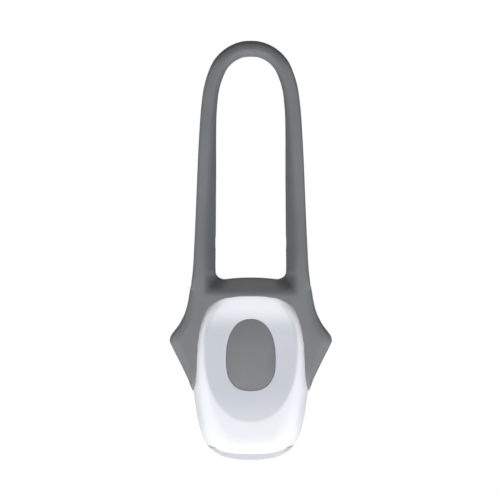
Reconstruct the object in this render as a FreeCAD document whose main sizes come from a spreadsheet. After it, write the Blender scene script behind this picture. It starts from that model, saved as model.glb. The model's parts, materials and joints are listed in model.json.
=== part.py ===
# Strap-on bicycle light: a silicone holder with a long strap loop grips a handlebar, and carries a
# two-shell housing with a push button, two coin cells, a circuit board, two lamps and a domed lens.
#
# Millimetres, +Z up along the strap, the button faces -Y and the handlebar runs along X.
# The origin is on the handlebar's axis. The pieces are laid out from two planes of the light itself:
# "height" is measured up from the lowest point of the lens, and "depth" forward, towards -Y, from the
# back face of the rear shell. Both planes are placed from the handlebar's axis.

import FreeCAD, Part
import math
import os

SIZES = {
    # handlebar and its saddle on the back of the holder
    "bar_radius": 12.7,
    "bar_height": 25.0,
    "saddle_half_angle": 68.0,
    "saddle_half_width": 10.0,
    "saddle_foot": 1.3,
    "saddle_flare": 1.6,
    "saddle_round": 1.1,
    "holder_wall": 2.0,
    "fit_gap": 0.12,
    # housing outline, seen from the front
    "housing_half_width": 14.6,
    "housing_widest_height": 19.0,
    "housing_top": 42.7,
    "housing_foot": 0.6,
    "crown_power": 3.1,
    "foot_power": 4.0,
    "foot_taper": 0.0085,
    "shell_wall": 1.3,
    "back_wall": 1.3,
    "front_edge_inset": 5.6,
    "front_hollow_inset": 1.8,
    "rear_edge_inset": 3.0,
    "rear_hollow_inset": 1.3,
    # lens at the lower end
    "rim_height": 4.0,
    "rim_tilt": 13.0,
    "rim_floor": 1.2,
    "lens_half_width": 10.8,
    "lens_half_depth": 5.8,
    "lens_dome": 3.85,
    "lens_wall": 1.0,
    "spigot_step": 1.3,
    "spigot_wall": 0.8,
    "spigot_length": 2.6,
    "lens_seal_width": 0.7,
    "lens_seal_thickness": 0.5,
    # cells, tray and contacts
    "cell_radius": 10.0,
    "cell_thickness": 3.2,
    "cell_rim": 0.9,
    "cell_step": 0.25,
    "cell_height": 26.0,
    "cell_gap": 0.15,
    "tray_wall": 1.1,
    "tray_drop": 0.25,
    "tray_mouth_half_width": 6.4,
    "contact_thickness": 0.25,
    "contact_half_width": 3.0,
    "contact_half_height": 4.0,
    "riser_half_width": 1.0,
    "riser_inset": 0.2,
    # circuit board and what is on it
    "hole_gap": 0.03,
    "board_gap": 0.65,
    "board_thickness": 0.8,
    "board_half_width": 9.4,
    "board_tongue_half_width": 7.2,
    "board_top": 36.6,
    "board_shoulder": 15.2,
    "board_foot": 12.8,
    "board_screw_radius": 0.6,
    "board_screw_head_radius": 1.2,
    "board_screw_head": 0.6,
    "board_screw_bite": 1.8,
    "board_screw_across": 7.8,
    "board_screw_low": 17.2,
    "board_screw_high": 34.8,
    "board_post_radius": 1.4,
    "post_root": 0.5,
    "chip_length": 5.0,
    "chip_width": 3.6,
    "chip_thickness": 1.0,
    "chip_across": 5.2,
    "chip_height": 27.0,
    "resistor_length": 2.0,
    "resistor_width": 1.25,
    "resistor_thickness": 0.5,
    "resistor_pitch": 2.2,
    "resistor_across": 4.9,
    "resistor_height": 20.2,
    "capacitor_length": 3.2,
    "capacitor_width": 1.6,
    "capacitor_thickness": 1.3,
    "capacitor_across": 4.5,
    "capacitor_height": 20.2,
    # switch and button
    "switch_half_width": 2.6,
    "switch_body": 1.05,
    "switch_floor": 0.1,
    "switch_dome": 0.07,
    "switch_cover": 0.15,
    "cover_inset": 0.1,
    "plunger_radius": 1.1,
    "plunger_flange_radius": 1.5,
    "plunger_flange": 0.25,
    "plunger_proud": 0.65,
    "plunger_gap": 0.06,
    "button_travel": 0.5,
    "button_play": 0.05,
    "button_post_radius": 1.5,
    "button_post": 0.3,
    "button_flange": 0.7,
    "button_flange_width": 1.3,
    "button_flange_gap": 0.1,
    "button_half_width": 6.2,
    "button_widest_height": 24.9,
    "button_top": 35.3,
    "button_foot": 17.0,
    "button_power": 2.2,
    "button_foot_power": 2.45,
    "button_gap": 0.3,
    "button_proud": 0.3,
    "button_crown": 0.55,
    "button_edge": 1.6,
    # front of the housing
    "dish_depth": 1.3,
    "dish_radius": 105.0,
    "dish_height": 26.0,
    "seam_depth": 7.0,
    "seal_width": 0.4,
    "seal_thickness": 0.5,
    "seal_gap": 0.05,
    # lamps and reflector
    "lamp_radius": 2.5,
    "lamp_flange_radius": 2.9,
    "lamp_flange": 1.0,
    "lamp_length": 8.0,
    "lamp_across": 4.5,
    "lamp_height": 4.6,
    "lead_radius": 0.25,
    "lead_pitch": 2.54,
    "lead_rise": 0.75,
    "lead_end": 0.4,
    "reflector_height": 4.6,
    "reflector_gap": 0.15,
    "reflector_mouth": 3.3,
    "reflector_bore_gap": 0.1,
    "reflector_cup_drop": 0.3,
    # screws that hold the two shells together
    "shell_screw_across": 9.8,
    "shell_screw_height": 10.9,
    "shell_screw_radius": 0.8,
    "shell_screw_head_radius": 1.5,
    "shell_screw_head": 1.0,
    "shell_screw_sink_gap": 0.1,
    "shell_screw_length": 8.6,
    "boss_radius": 2.0,
    # holder: ears, ribs and web
    "ear_reach": 5.35,
    "ear_tip_height": 30.15,
    "ear_tip_radius": 1.25,
    "ear_foot_height": 17.4,
    "ear_foot_inset": 0.1,
    "notch_reach": 1.5,
    "notch_height": 37.4,
    "holder_foot": 8.6,
    "holder_top_gap": 0.5,
    "rib_front_depth": 12.8,
    "ear_front_depth": 9.0,
    "ear_back_depth": 6.0,
    "neck_back_depth": 3.0,
    "back_corner_inset": 3.0,
    "back_notch_inset": 3.6,
    "back_tip_inset": 6.3,
    "back_foot_inset": 1.2,
    "back_top_inset": 2.5,
    "back_bottom_inset": 0.9,
    "front_corner_inset": 0.8,
    "front_notch_inset": 1.9,
    "front_tip_inset": 2.8,
    "front_foot_inset": 0.7,
    "front_bottom_inset": 0.3,
    "cup_depth": 0.9,
    "cup_height": 14.6,
    "lip_foot_depth": 8.4,
    "lip_foot_height": 17.5,
    "lip_top_height": 26.0,
    "web_half_width": 8.6,
    "web_mouth": 2.6,
    "web_top_depth": 10.0,
    "web_lap": 1.1,
    # strap loop
    "neck_height": 46.0,
    "neck_depth": 9.5,
    "neck_inset": 0.05,
    "knuckle_gap": 0.05,
    "knuckle_play": 0.4,
    "strap_thickness": 5.0,
    "strap_half_gap": 8.8,
    "strap_shoulder_height": 85.6,
    "strap_shoulder_half_width": 12.4,
    "strap_middle_height": 62.0,
    "strap_middle_half_width": 13.55,
    "strap_shoulder_half_gap": 8.6,
    "arch_height": 93.1,
    "arch_radius": 10.9,
    "arch_half_gap": 7.1,
    "strap_bevel": 1.9,
    "strap_edge_round": 1.2,
    "strap_back_round": 0.8,
    "strap_bend": 100.0,
    "shelf_margin": 4.0,
}

doc = FreeCAD.newDocument("bike_light")
sheet = doc.addObject("Spreadsheet::Sheet", "sizes")
for row, (alias, number) in enumerate(SIZES.items(), start=1):
    sheet.set("A%d" % row, alias)
    sheet.set("B%d" % row, str(number))
    sheet.setAlias("B%d" % row, alias)
doc.recompute()


class Read:
    """Reads a driving dimension from the sheet by its alias."""

    def __getattr__(self, alias):
        return float(sheet.get(alias))


size = Read()

# Depths of the stacked pieces, from the back face of the rear shell forward
cell_back = size.back_wall + size.contact_thickness
cells_front = cell_back + 2 * size.cell_thickness
board_back = cells_front + size.board_gap
board_front = board_back + size.board_thickness
switch_front = board_front + size.switch_body + size.switch_cover
plunger_front = switch_front + size.plunger_proud
post_back = plunger_front + size.button_play
flange_back = post_back + size.button_post
flange_front = flange_back + size.button_flange
wall_back = flange_front + size.button_flange_gap
dish_front = wall_back + size.shell_wall
crown_front = dish_front + size.dish_depth
bar_depth = -(size.bar_radius + size.holder_wall)
strap_back = size.neck_depth - size.strap_thickness / 2
strap_front = size.neck_depth + size.strap_thickness / 2
knuckle_radius = size.strap_thickness / 2
neck_half_width = size.housing_half_width - size.neck_inset
holder_top = size.neck_height - size.holder_top_gap

# The same depths as sheet formulas, for the pieces whose properties are bound to the sheet
CELL_BACK = "(sizes.back_wall + sizes.contact_thickness)"
CELLS_FRONT = "(%s + 2 * sizes.cell_thickness)" % CELL_BACK
BOARD_BACK = "(%s + sizes.board_gap)" % CELLS_FRONT
BOARD_FRONT = "(%s + sizes.board_thickness)" % BOARD_BACK
COVER_BACK = "(%s + sizes.switch_body)" % BOARD_FRONT
LAMP_TOP = "(sizes.lamp_height + sizes.lamp_length)"
TRAY_RADIUS = "(sizes.cell_radius + sizes.cell_gap + sizes.tray_wall)"

OVERCUT = 5.0
MOUTH_BEYOND = 1.0
TOUCH = 0.001
ORIGIN_SHIFT = FreeCAD.Vector(0, bar_depth, -size.bar_height)
ACROSS = FreeCAD.Vector(1, 0, 0)
FORWARD = FreeCAD.Vector(0, -1, 0)
UP = FreeCAD.Vector(0, 0, 1)
TURN_FORWARD = FreeCAD.Rotation(ACROSS, 90)


# Helpers for pieces made of bound primitives

def place(item, across="0", depth="0", height="0", turn=None):
    """Binds an item's position: across X, depth forward of the rear shell's back, height over the lens."""
    if turn is not None:
        item.Placement = FreeCAD.Placement(FreeCAD.Vector(), turn)
    item.setExpression("Placement.Base.x", across)
    item.setExpression("Placement.Base.y", "-(sizes.bar_radius + sizes.holder_wall + (%s))" % depth)
    item.setExpression("Placement.Base.z", "(%s) - sizes.bar_height" % height)
    return item


def block(name, half_width, back, front, low, high, across="0"):
    """A box bound to formulas: centred across X, between two depths and two heights."""
    item = doc.addObject("Part::Box", name)
    item.setExpression("Length", "2 * (%s)" % half_width)
    item.setExpression("Width", "(%s) - (%s)" % (front, back))
    item.setExpression("Height", "(%s) - (%s)" % (high, low))
    return place(item, "(%s) - (%s)" % (across, half_width), front, low)


def disc(name, radius, back, front, height, across="0"):
    """A cylinder bound to formulas, with its axis along the depth."""
    item = doc.addObject("Part::Cylinder", name)
    item.setExpression("Radius", radius)
    item.setExpression("Height", "(%s) - (%s)" % (front, back))
    return place(item, across, back, height, TURN_FORWARD)


def post(name, radius, low, high, depth, across="0"):
    """A cylinder bound to formulas, with its axis upright."""
    item = doc.addObject("Part::Cylinder", name)
    item.setExpression("Radius", radius)
    item.setExpression("Height", "(%s) - (%s)" % (high, low))
    return place(item, across, depth, low)


def fuse(name, items):
    item = doc.addObject("Part::MultiFuse", name)
    item.Shapes = items
    return item


def cut(name, base, tools):
    item = doc.addObject("Part::Cut", name)
    item.Base = base
    item.Tool = tools[0] if len(tools) == 1 else fuse(name + "_tools", tools)
    return item


def group(name, items):
    """Separate solids that share one node, such as a set of alike fasteners."""
    item = doc.addObject("Part::Compound", name)
    item.Links = items
    return item


# Helpers for shapes that no primitive gives, in across, depth and height

def point(across, depth, height):
    return FreeCAD.Vector(across, -depth, height)


def spacing(points):
    """Each point's distance along an outline, and last the whole way round."""
    marks = [0.0]
    for first, second in zip(points, points[1:] + points[:1]):
        marks.append(marks[-1] + (second - first).Length)
    return marks


def closed_curve(points, marks):
    curve = Part.BSplineCurve()
    curve.interpolate(Points=points, PeriodicFlag=True, Parameters=marks)
    curve.setNotPeriodic()
    return curve


def open_curve(points):
    curve = Part.BSplineCurve()
    curve.interpolate(Points=points)
    return curve


def pieces(curve):
    """A spline as a chain of single cubic edges, which loft and measure cleanly."""
    return [span.toShape() for span in curve.toBezier()]


def ring(points, inset, depth):
    """A closed wire at a depth: the outline moved inwards by inset, square to itself."""
    marks = spacing(points)
    curve = closed_curve(points, marks)
    moved = []
    for corner, mark in zip(points, marks):
        tangent = curve.tangent(mark)[0]
        inward = FORWARD.cross(tangent)
        inward.normalize()
        spot = corner + inward * inset
        moved.append(point(spot.x, depth, spot.z))
    return Part.Wire(pieces(closed_curve(moved, marks)))


def skin(points, sections, smooth=True):
    """A solid through outlines: each section is its depth and how far the outline is moved in."""
    rings = [ring(points, inset, depth) for depth, inset in sections]
    return Part.makeLoft(rings, True, not smooth)


def prism(points, inset, back, front):
    face = Part.Face(ring(points, inset, back))
    return face.extrude(FORWARD * (front - back))


def superellipse_point(angle, half_width, middle, up, down, power_up, power_down, taper=0.0):
    """A point of an upright egg-like outline, by an angle that runs round it from its right side."""
    sine = math.sin(angle)
    cosine = math.cos(angle)
    power = power_up if sine >= 0 else power_down
    reach = up if sine >= 0 else down
    height = reach * math.copysign(abs(sine) ** (2 / power), sine)
    across = half_width * math.copysign(abs(cosine) ** (2 / power), cosine)
    narrowing = 1 + taper * min(height, 0.0)
    return point(across * narrowing, 0, middle + height)


HOUSING_POINTS = 16
housing_outline = [
    superellipse_point(2 * math.pi * (index + 0.5) / HOUSING_POINTS, size.housing_half_width,
                       size.housing_widest_height, size.housing_top - size.housing_widest_height,
                       size.housing_widest_height - size.housing_foot,
                       size.crown_power, size.foot_power, size.foot_taper)
    for index in range(HOUSING_POINTS)
]

BUTTON_POINTS = 12
button_outline = [
    superellipse_point(2 * math.pi * index / BUTTON_POINTS, size.button_half_width,
                       size.button_widest_height, size.button_top - size.button_widest_height,
                       size.button_widest_height - size.button_foot,
                       size.button_power, size.button_foot_power)
    for index in range(BUTTON_POINTS)
]


def cylinder(radius, start, end):
    axis = end - start
    return Part.makeCylinder(radius, axis.Length, start, axis)


def polygon(corners):
    return Part.Wire(Part.makePolygon(corners + corners[:1]))


def oval(half_width, half_depth):
    """An upright oval wire in the lens's own frame: the rim's plane is z = 0."""
    ellipse = Part.Ellipse(FreeCAD.Vector(), half_width, half_depth)
    return Part.Wire(ellipse.toShape())


def oval_post(half_width, half_depth, low, high):
    face = Part.Face(oval(half_width, half_depth))
    face.translate(UP * low)
    return face.extrude(UP * (high - low))


def half_dome(half_width, half_depth, drop):
    """The lower half of an ellipsoid in the lens's own frame."""
    stretch = FreeCAD.Matrix()
    stretch.scale(half_width, half_depth, drop)
    ball = Part.makeSphere(1.0).transformGeometry(stretch)
    reach = 2 * half_width
    below = Part.makeBox(2 * reach, 2 * reach, reach, FreeCAD.Vector(-reach, -reach, -reach))
    return ball.common(below)


def to_rim(shape):
    """Carries a shape from the lens's own frame to its place: the front of the rim lies lower."""
    shape.rotate(FreeCAD.Vector(), ACROSS, size.rim_tilt)
    shape.translate(point(0, size.seam_depth, size.rim_height))
    return shape


def above_rim(lift):
    """Everything higher than the rim's plane by lift."""
    reach = 2 * size.housing_top
    room = Part.makeBox(2 * reach, 2 * reach, reach, FreeCAD.Vector(-reach, -reach, lift))
    return to_rim(room)


def single(shape):
    """The one solid of a shape."""
    solids = shape.removeSplitter().Solids
    if len(solids) != 1:
        raise ValueError("expected one solid, found %d" % len(solids))
    return solids[0]


def sculpted(label, shape):
    item = doc.addObject("Part::Feature", label)
    own_place = shape.Placement
    item.Shape = shape
    item.Placement = FreeCAD.Placement(ORIGIN_SHIFT, FreeCAD.Rotation()).multiply(own_place)
    return item


# Housing shells: each rounded side is a list of shares of its depth, from the seam outwards, and of
# how far its outline draws in at the end

FRONT_SIDE = [(0.0, 0.0), (0.38, 0.0625), (0.68, 0.223), (0.90, 0.536), (1.0, 1.0)]
FRONT_HOLLOW = [(0.0, 0.0), (0.5, 0.167), (0.85, 0.5), (1.0, 1.0)]
REAR_SIDE = [(0.0, 0.0), (0.64, 0.133), (0.90, 0.5), (1.0, 1.0)]
REAR_HOLLOW = [(0.0, 0.0), (0.5, 0.077), (0.84, 0.385), (1.0, 1.0)]
BUTTON_SIDE = [(0.0, 0.0), (0.35, 0.125), (0.75, 0.469), (1.0, 1.0)]


def side_sections(side, start, end, inset, drawn_in):
    """Depths and insets of a rounded side that runs from one depth to another."""
    return [(start + share * (end - start), inset + part * drawn_in) for share, part in side]


def front_sections(inset):
    return side_sections(FRONT_SIDE, size.seam_depth, crown_front, inset, size.front_edge_inset)


def rear_sections(inset):
    return side_sections(REAR_SIDE, size.seam_depth, 0.0, inset, size.rear_edge_inset)


def lens_seat():
    """What the shells leave open at the rim: the lens's spigot and its seal."""
    spigot = oval_post(size.lens_half_width - size.spigot_step, size.lens_half_depth - size.spigot_step,
                       -OVERCUT, OVERCUT)
    groove = oval_post(size.lens_half_width - size.spigot_step + size.lens_seal_width,
                       size.lens_half_depth - size.spigot_step + size.lens_seal_width,
                       -OVERCUT, size.lens_seal_thickness)
    return to_rim(spigot.fuse(groove))


def screw_spots():
    return [(side * size.shell_screw_across, size.shell_screw_height) for side in (-1, 1)]


def board_screw_spots():
    return [(side * size.board_screw_across, height)
            for side in (-1, 1) for height in (size.board_screw_low, size.board_screw_high)]


def make_front_shell():
    outer = skin(housing_outline, front_sections(0)).common(above_rim(0))
    hollow = side_sections(FRONT_HOLLOW, size.seam_depth, wall_back, size.shell_wall,
                           size.front_hollow_inset)
    inner = skin(housing_outline, hollow).common(above_rim(size.rim_floor))
    shell = outer.cut(inner)
    post_end = wall_back + size.post_root
    posts = [cylinder(size.board_post_radius, point(x, board_front, z), point(x, post_end, z))
             for x, z in board_screw_spots()]
    bosses = [cylinder(size.boss_radius, point(x, size.seam_depth, z), point(x, post_end, z))
              for x, z in screw_spots()]
    shell = shell.fuse(posts + bosses)
    ball = Part.makeSphere(size.dish_radius, point(0, dish_front + size.dish_radius, size.dish_height))
    window = prism(button_outline, -size.button_gap, flange_front, crown_front + OVERCUT)
    screw_end = size.shell_screw_head + size.shell_screw_length + size.hole_gap
    holes = [cylinder(size.board_screw_radius + size.hole_gap, point(x, board_back, z),
                      point(x, board_front + size.board_screw_bite + size.hole_gap, z))
             for x, z in board_screw_spots()]
    holes += [cylinder(size.shell_screw_radius + size.hole_gap, point(x, 0, z), point(x, screw_end, z))
              for x, z in screw_spots()]
    wall_middle = (size.shell_wall - size.seal_width) / 2
    seal_back = size.seam_depth
    groove = prism(housing_outline, wall_middle - size.seal_gap, seal_back,
                   seal_back + size.seal_thickness + size.seal_gap)
    groove = groove.cut(prism(housing_outline, wall_middle + size.seal_width + size.seal_gap, seal_back,
                              seal_back + size.seal_thickness + size.seal_gap))
    groove = groove.common(above_rim(size.rim_floor))
    return single(shell.cut([ball, window, lens_seat(), groove] + holes))


def make_rear_shell():
    outer = skin(housing_outline, rear_sections(0)).common(above_rim(0))
    hollow = side_sections(REAR_HOLLOW, size.seam_depth, size.back_wall, size.shell_wall,
                           size.rear_hollow_inset)
    inner = skin(housing_outline, hollow).common(above_rim(size.rim_floor))
    shell = outer.cut(inner)
    bosses = [cylinder(size.boss_radius, point(x, size.back_wall / 2, z), point(x, size.seam_depth, z))
              for x, z in screw_spots()]
    shell = shell.fuse(bosses)
    holes = [cylinder(size.shell_screw_radius + size.hole_gap, point(x, 0, z), point(x, size.seam_depth, z))
             for x, z in screw_spots()]
    sinks = [cylinder(size.shell_screw_head_radius + size.shell_screw_sink_gap, point(x, 0, z),
                      point(x, size.shell_screw_head, z)) for x, z in screw_spots()]
    return single(shell.cut([lens_seat()] + holes + sinks))


def make_shell_seal():
    wall_middle = (size.shell_wall - size.seal_width) / 2
    front = size.seam_depth + size.seal_thickness
    band = prism(housing_outline, wall_middle, size.seam_depth, front)
    band = band.cut(prism(housing_outline, wall_middle + size.seal_width, size.seam_depth, front))
    return single(band.common(above_rim(size.rim_floor + size.seal_gap)))


# Lens, its seal and the reflector

def make_lens():
    spigot_width = size.lens_half_width - size.spigot_step
    spigot_depth = size.lens_half_depth - size.spigot_step
    dome = half_dome(size.lens_half_width, size.lens_half_depth, size.lens_dome)
    spigot = oval_post(spigot_width - size.fit_gap, spigot_depth - size.fit_gap, 0, size.spigot_length)
    inner_width = spigot_width - size.fit_gap - size.spigot_wall
    inner_depth = spigot_depth - size.fit_gap - size.spigot_wall
    hollow = half_dome(inner_width, inner_depth, size.lens_dome - size.lens_wall)
    bore = oval_post(inner_width, inner_depth, 0, size.spigot_length)
    return single(to_rim(dome.fuse(spigot).cut([hollow, bore])))


def make_lens_seal():
    width = size.lens_half_width - size.spigot_step
    depth = size.lens_half_depth - size.spigot_step
    thickness = size.lens_seal_thickness
    band = oval_post(width + size.lens_seal_width, depth + size.lens_seal_width, 0, thickness)
    return single(to_rim(band.cut(oval_post(width, depth, 0, thickness))))


def make_reflector():
    trim = size.spigot_step + size.fit_gap + size.spigot_wall + size.reflector_gap
    block_width = size.lens_half_width - trim
    block_depth = size.lens_half_depth - trim
    body = to_rim(oval_post(block_width, block_depth, 0, size.reflector_height))
    lamp_tip = size.lamp_height
    for side in (-1, 1):
        start = point(side * size.lamp_across, size.seam_depth, -OVERCUT)
        bore = size.lamp_radius + size.reflector_bore_gap
        body = body.cut(cylinder(bore, start, start + UP * (3 * OVERCUT + lamp_tip)))
        cup = Part.makeCone(size.reflector_mouth, bore, size.reflector_height,
                            point(side * size.lamp_across, size.seam_depth,
                                  size.rim_height - size.reflector_cup_drop), UP)
        body = body.cut(cup)
    return single(body)


# Button

def make_button():
    rim = dish_front + size.button_proud
    crown = skin(button_outline, side_sections(BUTTON_SIDE, rim, rim + size.button_crown, 0,
                                               size.button_edge))
    shank = prism(button_outline, 0, flange_back, rim)
    flange = prism(button_outline, -size.button_flange_width, flange_back, flange_front)
    height = size.button_widest_height
    foot = cylinder(size.button_post_radius, point(0, post_back, height), point(0, flange_back, height))
    return single(shank.fuse([crown, flange, foot]))


# Silicone holder

TIP_ROUNDING = (0.45, 0.40)
BELLY = (0.72, 0.2)
NECK_SHARE = 0.33


def holder_outline(depth, corner_in, notch_in, tip_in, foot_in, top_in, bottom_in):
    """The holder's outline at a depth: ribs, notches, ears and a rounded foot behind the housing."""
    reach = size.housing_half_width
    foot = size.holder_foot + bottom_in
    corner = (neck_half_width - corner_in, holder_top - top_in)
    notch = (reach + size.notch_reach - notch_in, size.notch_height)
    tip = (reach + size.ear_reach - tip_in, size.ear_tip_height)
    low = (reach - size.ear_foot_inset - foot_in, size.ear_foot_height)
    round_off = size.ear_tip_radius
    tip_top = (tip[0] - TIP_ROUNDING[0] * round_off, tip[1] + round_off)
    tip_low = (tip[0] - TIP_ROUNDING[1] * round_off, tip[1] - round_off)
    belly = (BELLY[0] * low[0], foot + BELLY[1] * (low[1] - foot))

    def at(spot, side):
        return point(side * spot[0], depth, spot[1])

    bottom = open_curve([at(low, 1), at(belly, 1), at((0, foot), 1), at(belly, -1), at(low, -1)])
    edges = [Part.LineSegment(at(corner, -1), at(corner, 1)).toShape(),
             Part.Arc(at(corner, 1), at(notch, 1), at(tip_top, 1)).toShape(),
             Part.Arc(at(tip_top, 1), at(tip, 1), at(tip_low, 1)).toShape(),
             Part.LineSegment(at(tip_low, 1), at(low, 1)).toShape()]
    edges += pieces(bottom)
    edges += [Part.LineSegment(at(low, -1), at(tip_low, -1)).toShape(),
              Part.Arc(at(tip_low, -1), at(tip, -1), at(tip_top, -1)).toShape(),
              Part.Arc(at(tip_top, -1), at(notch, -1), at(corner, -1)).toShape()]
    return Part.Wire(edges)


def saddle():
    """The block behind the housing that the handlebar lies in, with rounded horns."""
    half_angle = math.radians(size.saddle_half_angle)
    horn_depth = bar_depth + size.bar_radius * math.cos(half_angle)
    horn_height = size.bar_radius * math.sin(half_angle) + size.saddle_foot
    root_height = horn_height + size.saddle_flare
    width = size.saddle_half_width
    root_depth = -size.holder_wall / 2
    side = polygon([
        point(-width, root_depth, size.bar_height - root_height),
        point(-width, root_depth, size.bar_height + root_height),
        point(-width, horn_depth, size.bar_height + horn_height),
        point(-width, horn_depth, size.bar_height - horn_height),
    ])
    solid = Part.Face(side).extrude(ACROSS * (2 * width))
    free_edges = [edge for edge in solid.Edges
                  if any(abs(vertex.Y + root_depth) > TOUCH for vertex in edge.Vertexes)]
    return solid.makeFillet(size.saddle_round, free_edges)


def cup_cut():
    """Frees the housing's lower sides: the lip runs back under the ears, and lower down the holder only
    cups the rear shell's rounded edge."""
    reach = size.housing_half_width + size.ear_reach + OVERCUT
    slope = (size.lip_top_height - size.lip_foot_height) / (size.rib_front_depth - size.lip_foot_depth)
    side = polygon([
        point(-reach, size.cup_depth, size.cup_height),
        point(-reach, size.lip_foot_depth, size.lip_foot_height),
        point(-reach, size.rib_front_depth + MOUTH_BEYOND, size.lip_top_height + slope * MOUTH_BEYOND),
        point(-reach, size.rib_front_depth + MOUTH_BEYOND, -OVERCUT),
        point(-reach, size.cup_depth, -OVERCUT),
    ])
    return Part.Face(side).extrude(ACROSS * (2 * reach))


def web_recess():
    """The sloping pocket between the two ribs, above the housing."""
    def section(height, floor):
        mouth = size.rib_front_depth + MOUTH_BEYOND
        narrow = size.web_half_width
        wide = size.web_half_width + size.web_mouth
        return polygon([point(-narrow, floor, height), point(narrow, floor, height),
                        point(wide, mouth, height), point(-wide, mouth, height)])

    low = size.housing_top - size.web_lap
    slope = (size.rib_front_depth - size.web_top_depth) / (size.neck_height - low)
    return Part.makeLoft([section(size.neck_height + OVERCUT, size.web_top_depth - slope * OVERCUT),
                          section(low, size.rib_front_depth)], True, True)


def neck_clearance(side):
    """Room for one leg's knuckle, and for the leg as it bends back over the handlebar."""
    inner = size.strap_half_gap - size.knuckle_play
    outer = neck_half_width + OVERCUT
    seat = cylinder(knuckle_radius + size.knuckle_gap,
                    point(side * inner, size.neck_depth, size.neck_height),
                    point(side * outer, size.neck_depth, size.neck_height))
    fall = math.tan(math.radians(size.strap_bend - 90 + size.shelf_margin))
    back = -size.holder_wall - OVERCUT
    shelf = size.neck_height - knuckle_radius - size.knuckle_gap
    top = size.neck_height + OVERCUT
    profile = polygon([
        point(side * inner, size.neck_depth, shelf),
        point(side * inner, back, shelf - fall * (size.neck_depth - back)),
        point(side * inner, back, top),
        point(side * inner, size.neck_depth, top),
    ])
    room = Part.Face(profile).extrude(ACROSS * (side * (outer - inner)))
    return seat.fuse(room)


def make_holder():
    back = [size.back_corner_inset, size.back_notch_inset, size.back_tip_inset, size.back_foot_inset,
            size.back_top_inset, size.back_bottom_inset]
    front = [size.front_corner_inset, size.front_notch_inset, size.front_tip_inset, size.front_foot_inset,
             0.0, size.front_bottom_inset]
    full = [0.0] * len(back)
    body = Part.makeLoft([
        holder_outline(-size.holder_wall, *back),
        holder_outline(size.neck_back_depth, *[NECK_SHARE * inset for inset in back]),
        holder_outline(size.ear_back_depth, *full),
        holder_outline(size.ear_front_depth, *full),
        holder_outline(size.rib_front_depth, *front),
    ], True, True)
    body = body.fuse(saddle())
    gap = -size.fit_gap
    hollow = skin(housing_outline, rear_sections(gap)).fuse(skin(housing_outline, front_sections(gap)))
    bar = cylinder(size.bar_radius, point(-2 * size.saddle_half_width, bar_depth, size.bar_height),
                   point(2 * size.saddle_half_width, bar_depth, size.bar_height))
    return single(body.cut([hollow, bar, web_recess(), cup_cut(), neck_clearance(-1), neck_clearance(1)]))


# Strap loop

ARCH_ANGLES = (18.0, 50.0)


def strap_curves(depth, outer_in, gap_out):
    """The loop's outer and inner curves at a depth, from the right neck over the arch to the left."""
    def half(neck, middle, shoulder, radius):
        spots = [(neck, size.neck_height), (middle, size.strap_middle_height),
                 (shoulder, size.strap_shoulder_height)]
        for angle in ARCH_ANGLES:
            turn = math.radians(angle)
            spots.append((radius * math.cos(turn), size.arch_height + radius * math.sin(turn)))
        return spots

    def whole(spots, radius):
        apex = [(0.0, size.arch_height + radius)]
        mirrored = [(-x, z) for x, z in reversed(spots)]
        return open_curve([point(x, depth, z) for x, z in spots + apex + mirrored])

    outer_radius = size.arch_radius - outer_in
    inner_radius = size.arch_half_gap + gap_out
    outer = half(neck_half_width - outer_in, size.strap_middle_half_width - outer_in,
                 size.strap_shoulder_half_width - outer_in, outer_radius)
    middle_half_gap = (size.strap_half_gap + size.strap_shoulder_half_gap) / 2
    inner = half(size.strap_half_gap + gap_out, middle_half_gap + gap_out,
                 size.strap_shoulder_half_gap + gap_out, inner_radius)
    return whole(outer, outer_radius), whole(inner, inner_radius)


def strap_prism():
    """The loop as a flat band, before its edges are rounded."""
    outer, inner = strap_curves(strap_back, 0, 0)
    feet = [Part.LineSegment(outer.EndPoint, inner.EndPoint).toShape(),
            Part.LineSegment(inner.StartPoint, outer.StartPoint).toShape()]
    wire = Part.Wire(pieces(outer) + feet[:1] + pieces(inner)[::-1] + feet[1:])
    return Part.Face(wire).extrude(FORWARD * size.strap_thickness)


def strap_edges(band, curve, depth):
    """The band's edges that follow a curve at a depth."""
    shift = FORWARD * (depth - strap_back)
    middles = [span.value((span.FirstParameter + span.LastParameter) / 2) + shift
               for span in curve.toBezier()]
    return [edge for edge in band.Edges
            if any((edge.valueAt((edge.FirstParameter + edge.LastParameter) / 2) - middle).Length < TOUCH
                   for middle in middles)]


def strap_bevel():
    """What the inner bevel takes off the loop's front, and off its knuckles in line with it."""
    low = size.neck_height - 2 * OVERCUT
    beyond = OVERCUT / 10
    slope = size.strap_bevel / (strap_front - size.neck_depth)
    wires = []
    for depth in (size.neck_depth, strap_front + beyond):
        curve = strap_curves(depth, 0, slope * (depth - size.neck_depth))[1]
        corners = [curve.EndPoint, point(curve.EndPoint.x, depth, low),
                   point(curve.StartPoint.x, depth, low), curve.StartPoint]
        lines = [Part.LineSegment(first, second).toShape() for first, second in zip(corners, corners[1:])]
        wires.append(Part.Wire(pieces(curve) + lines))
    return Part.makeLoft(wires, True, True)


def make_strap():
    outer, inner = strap_curves(strap_back, 0, 0)
    loop = strap_prism()
    outer_edges = strap_edges(loop, outer, strap_back) + strap_edges(loop, outer, strap_front)
    loop = loop.makeFillet(size.strap_edge_round, outer_edges)
    loop = loop.makeFillet(size.strap_back_round, strap_edges(loop, inner, strap_back))
    knuckles = [cylinder(knuckle_radius,
                         point(side * size.strap_half_gap, size.neck_depth, size.neck_height),
                         point(side * neck_half_width, size.neck_depth, size.neck_height))
                for side in (-1, 1)]
    return single(loop.fuse(knuckles).cut(strap_bevel()))


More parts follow.
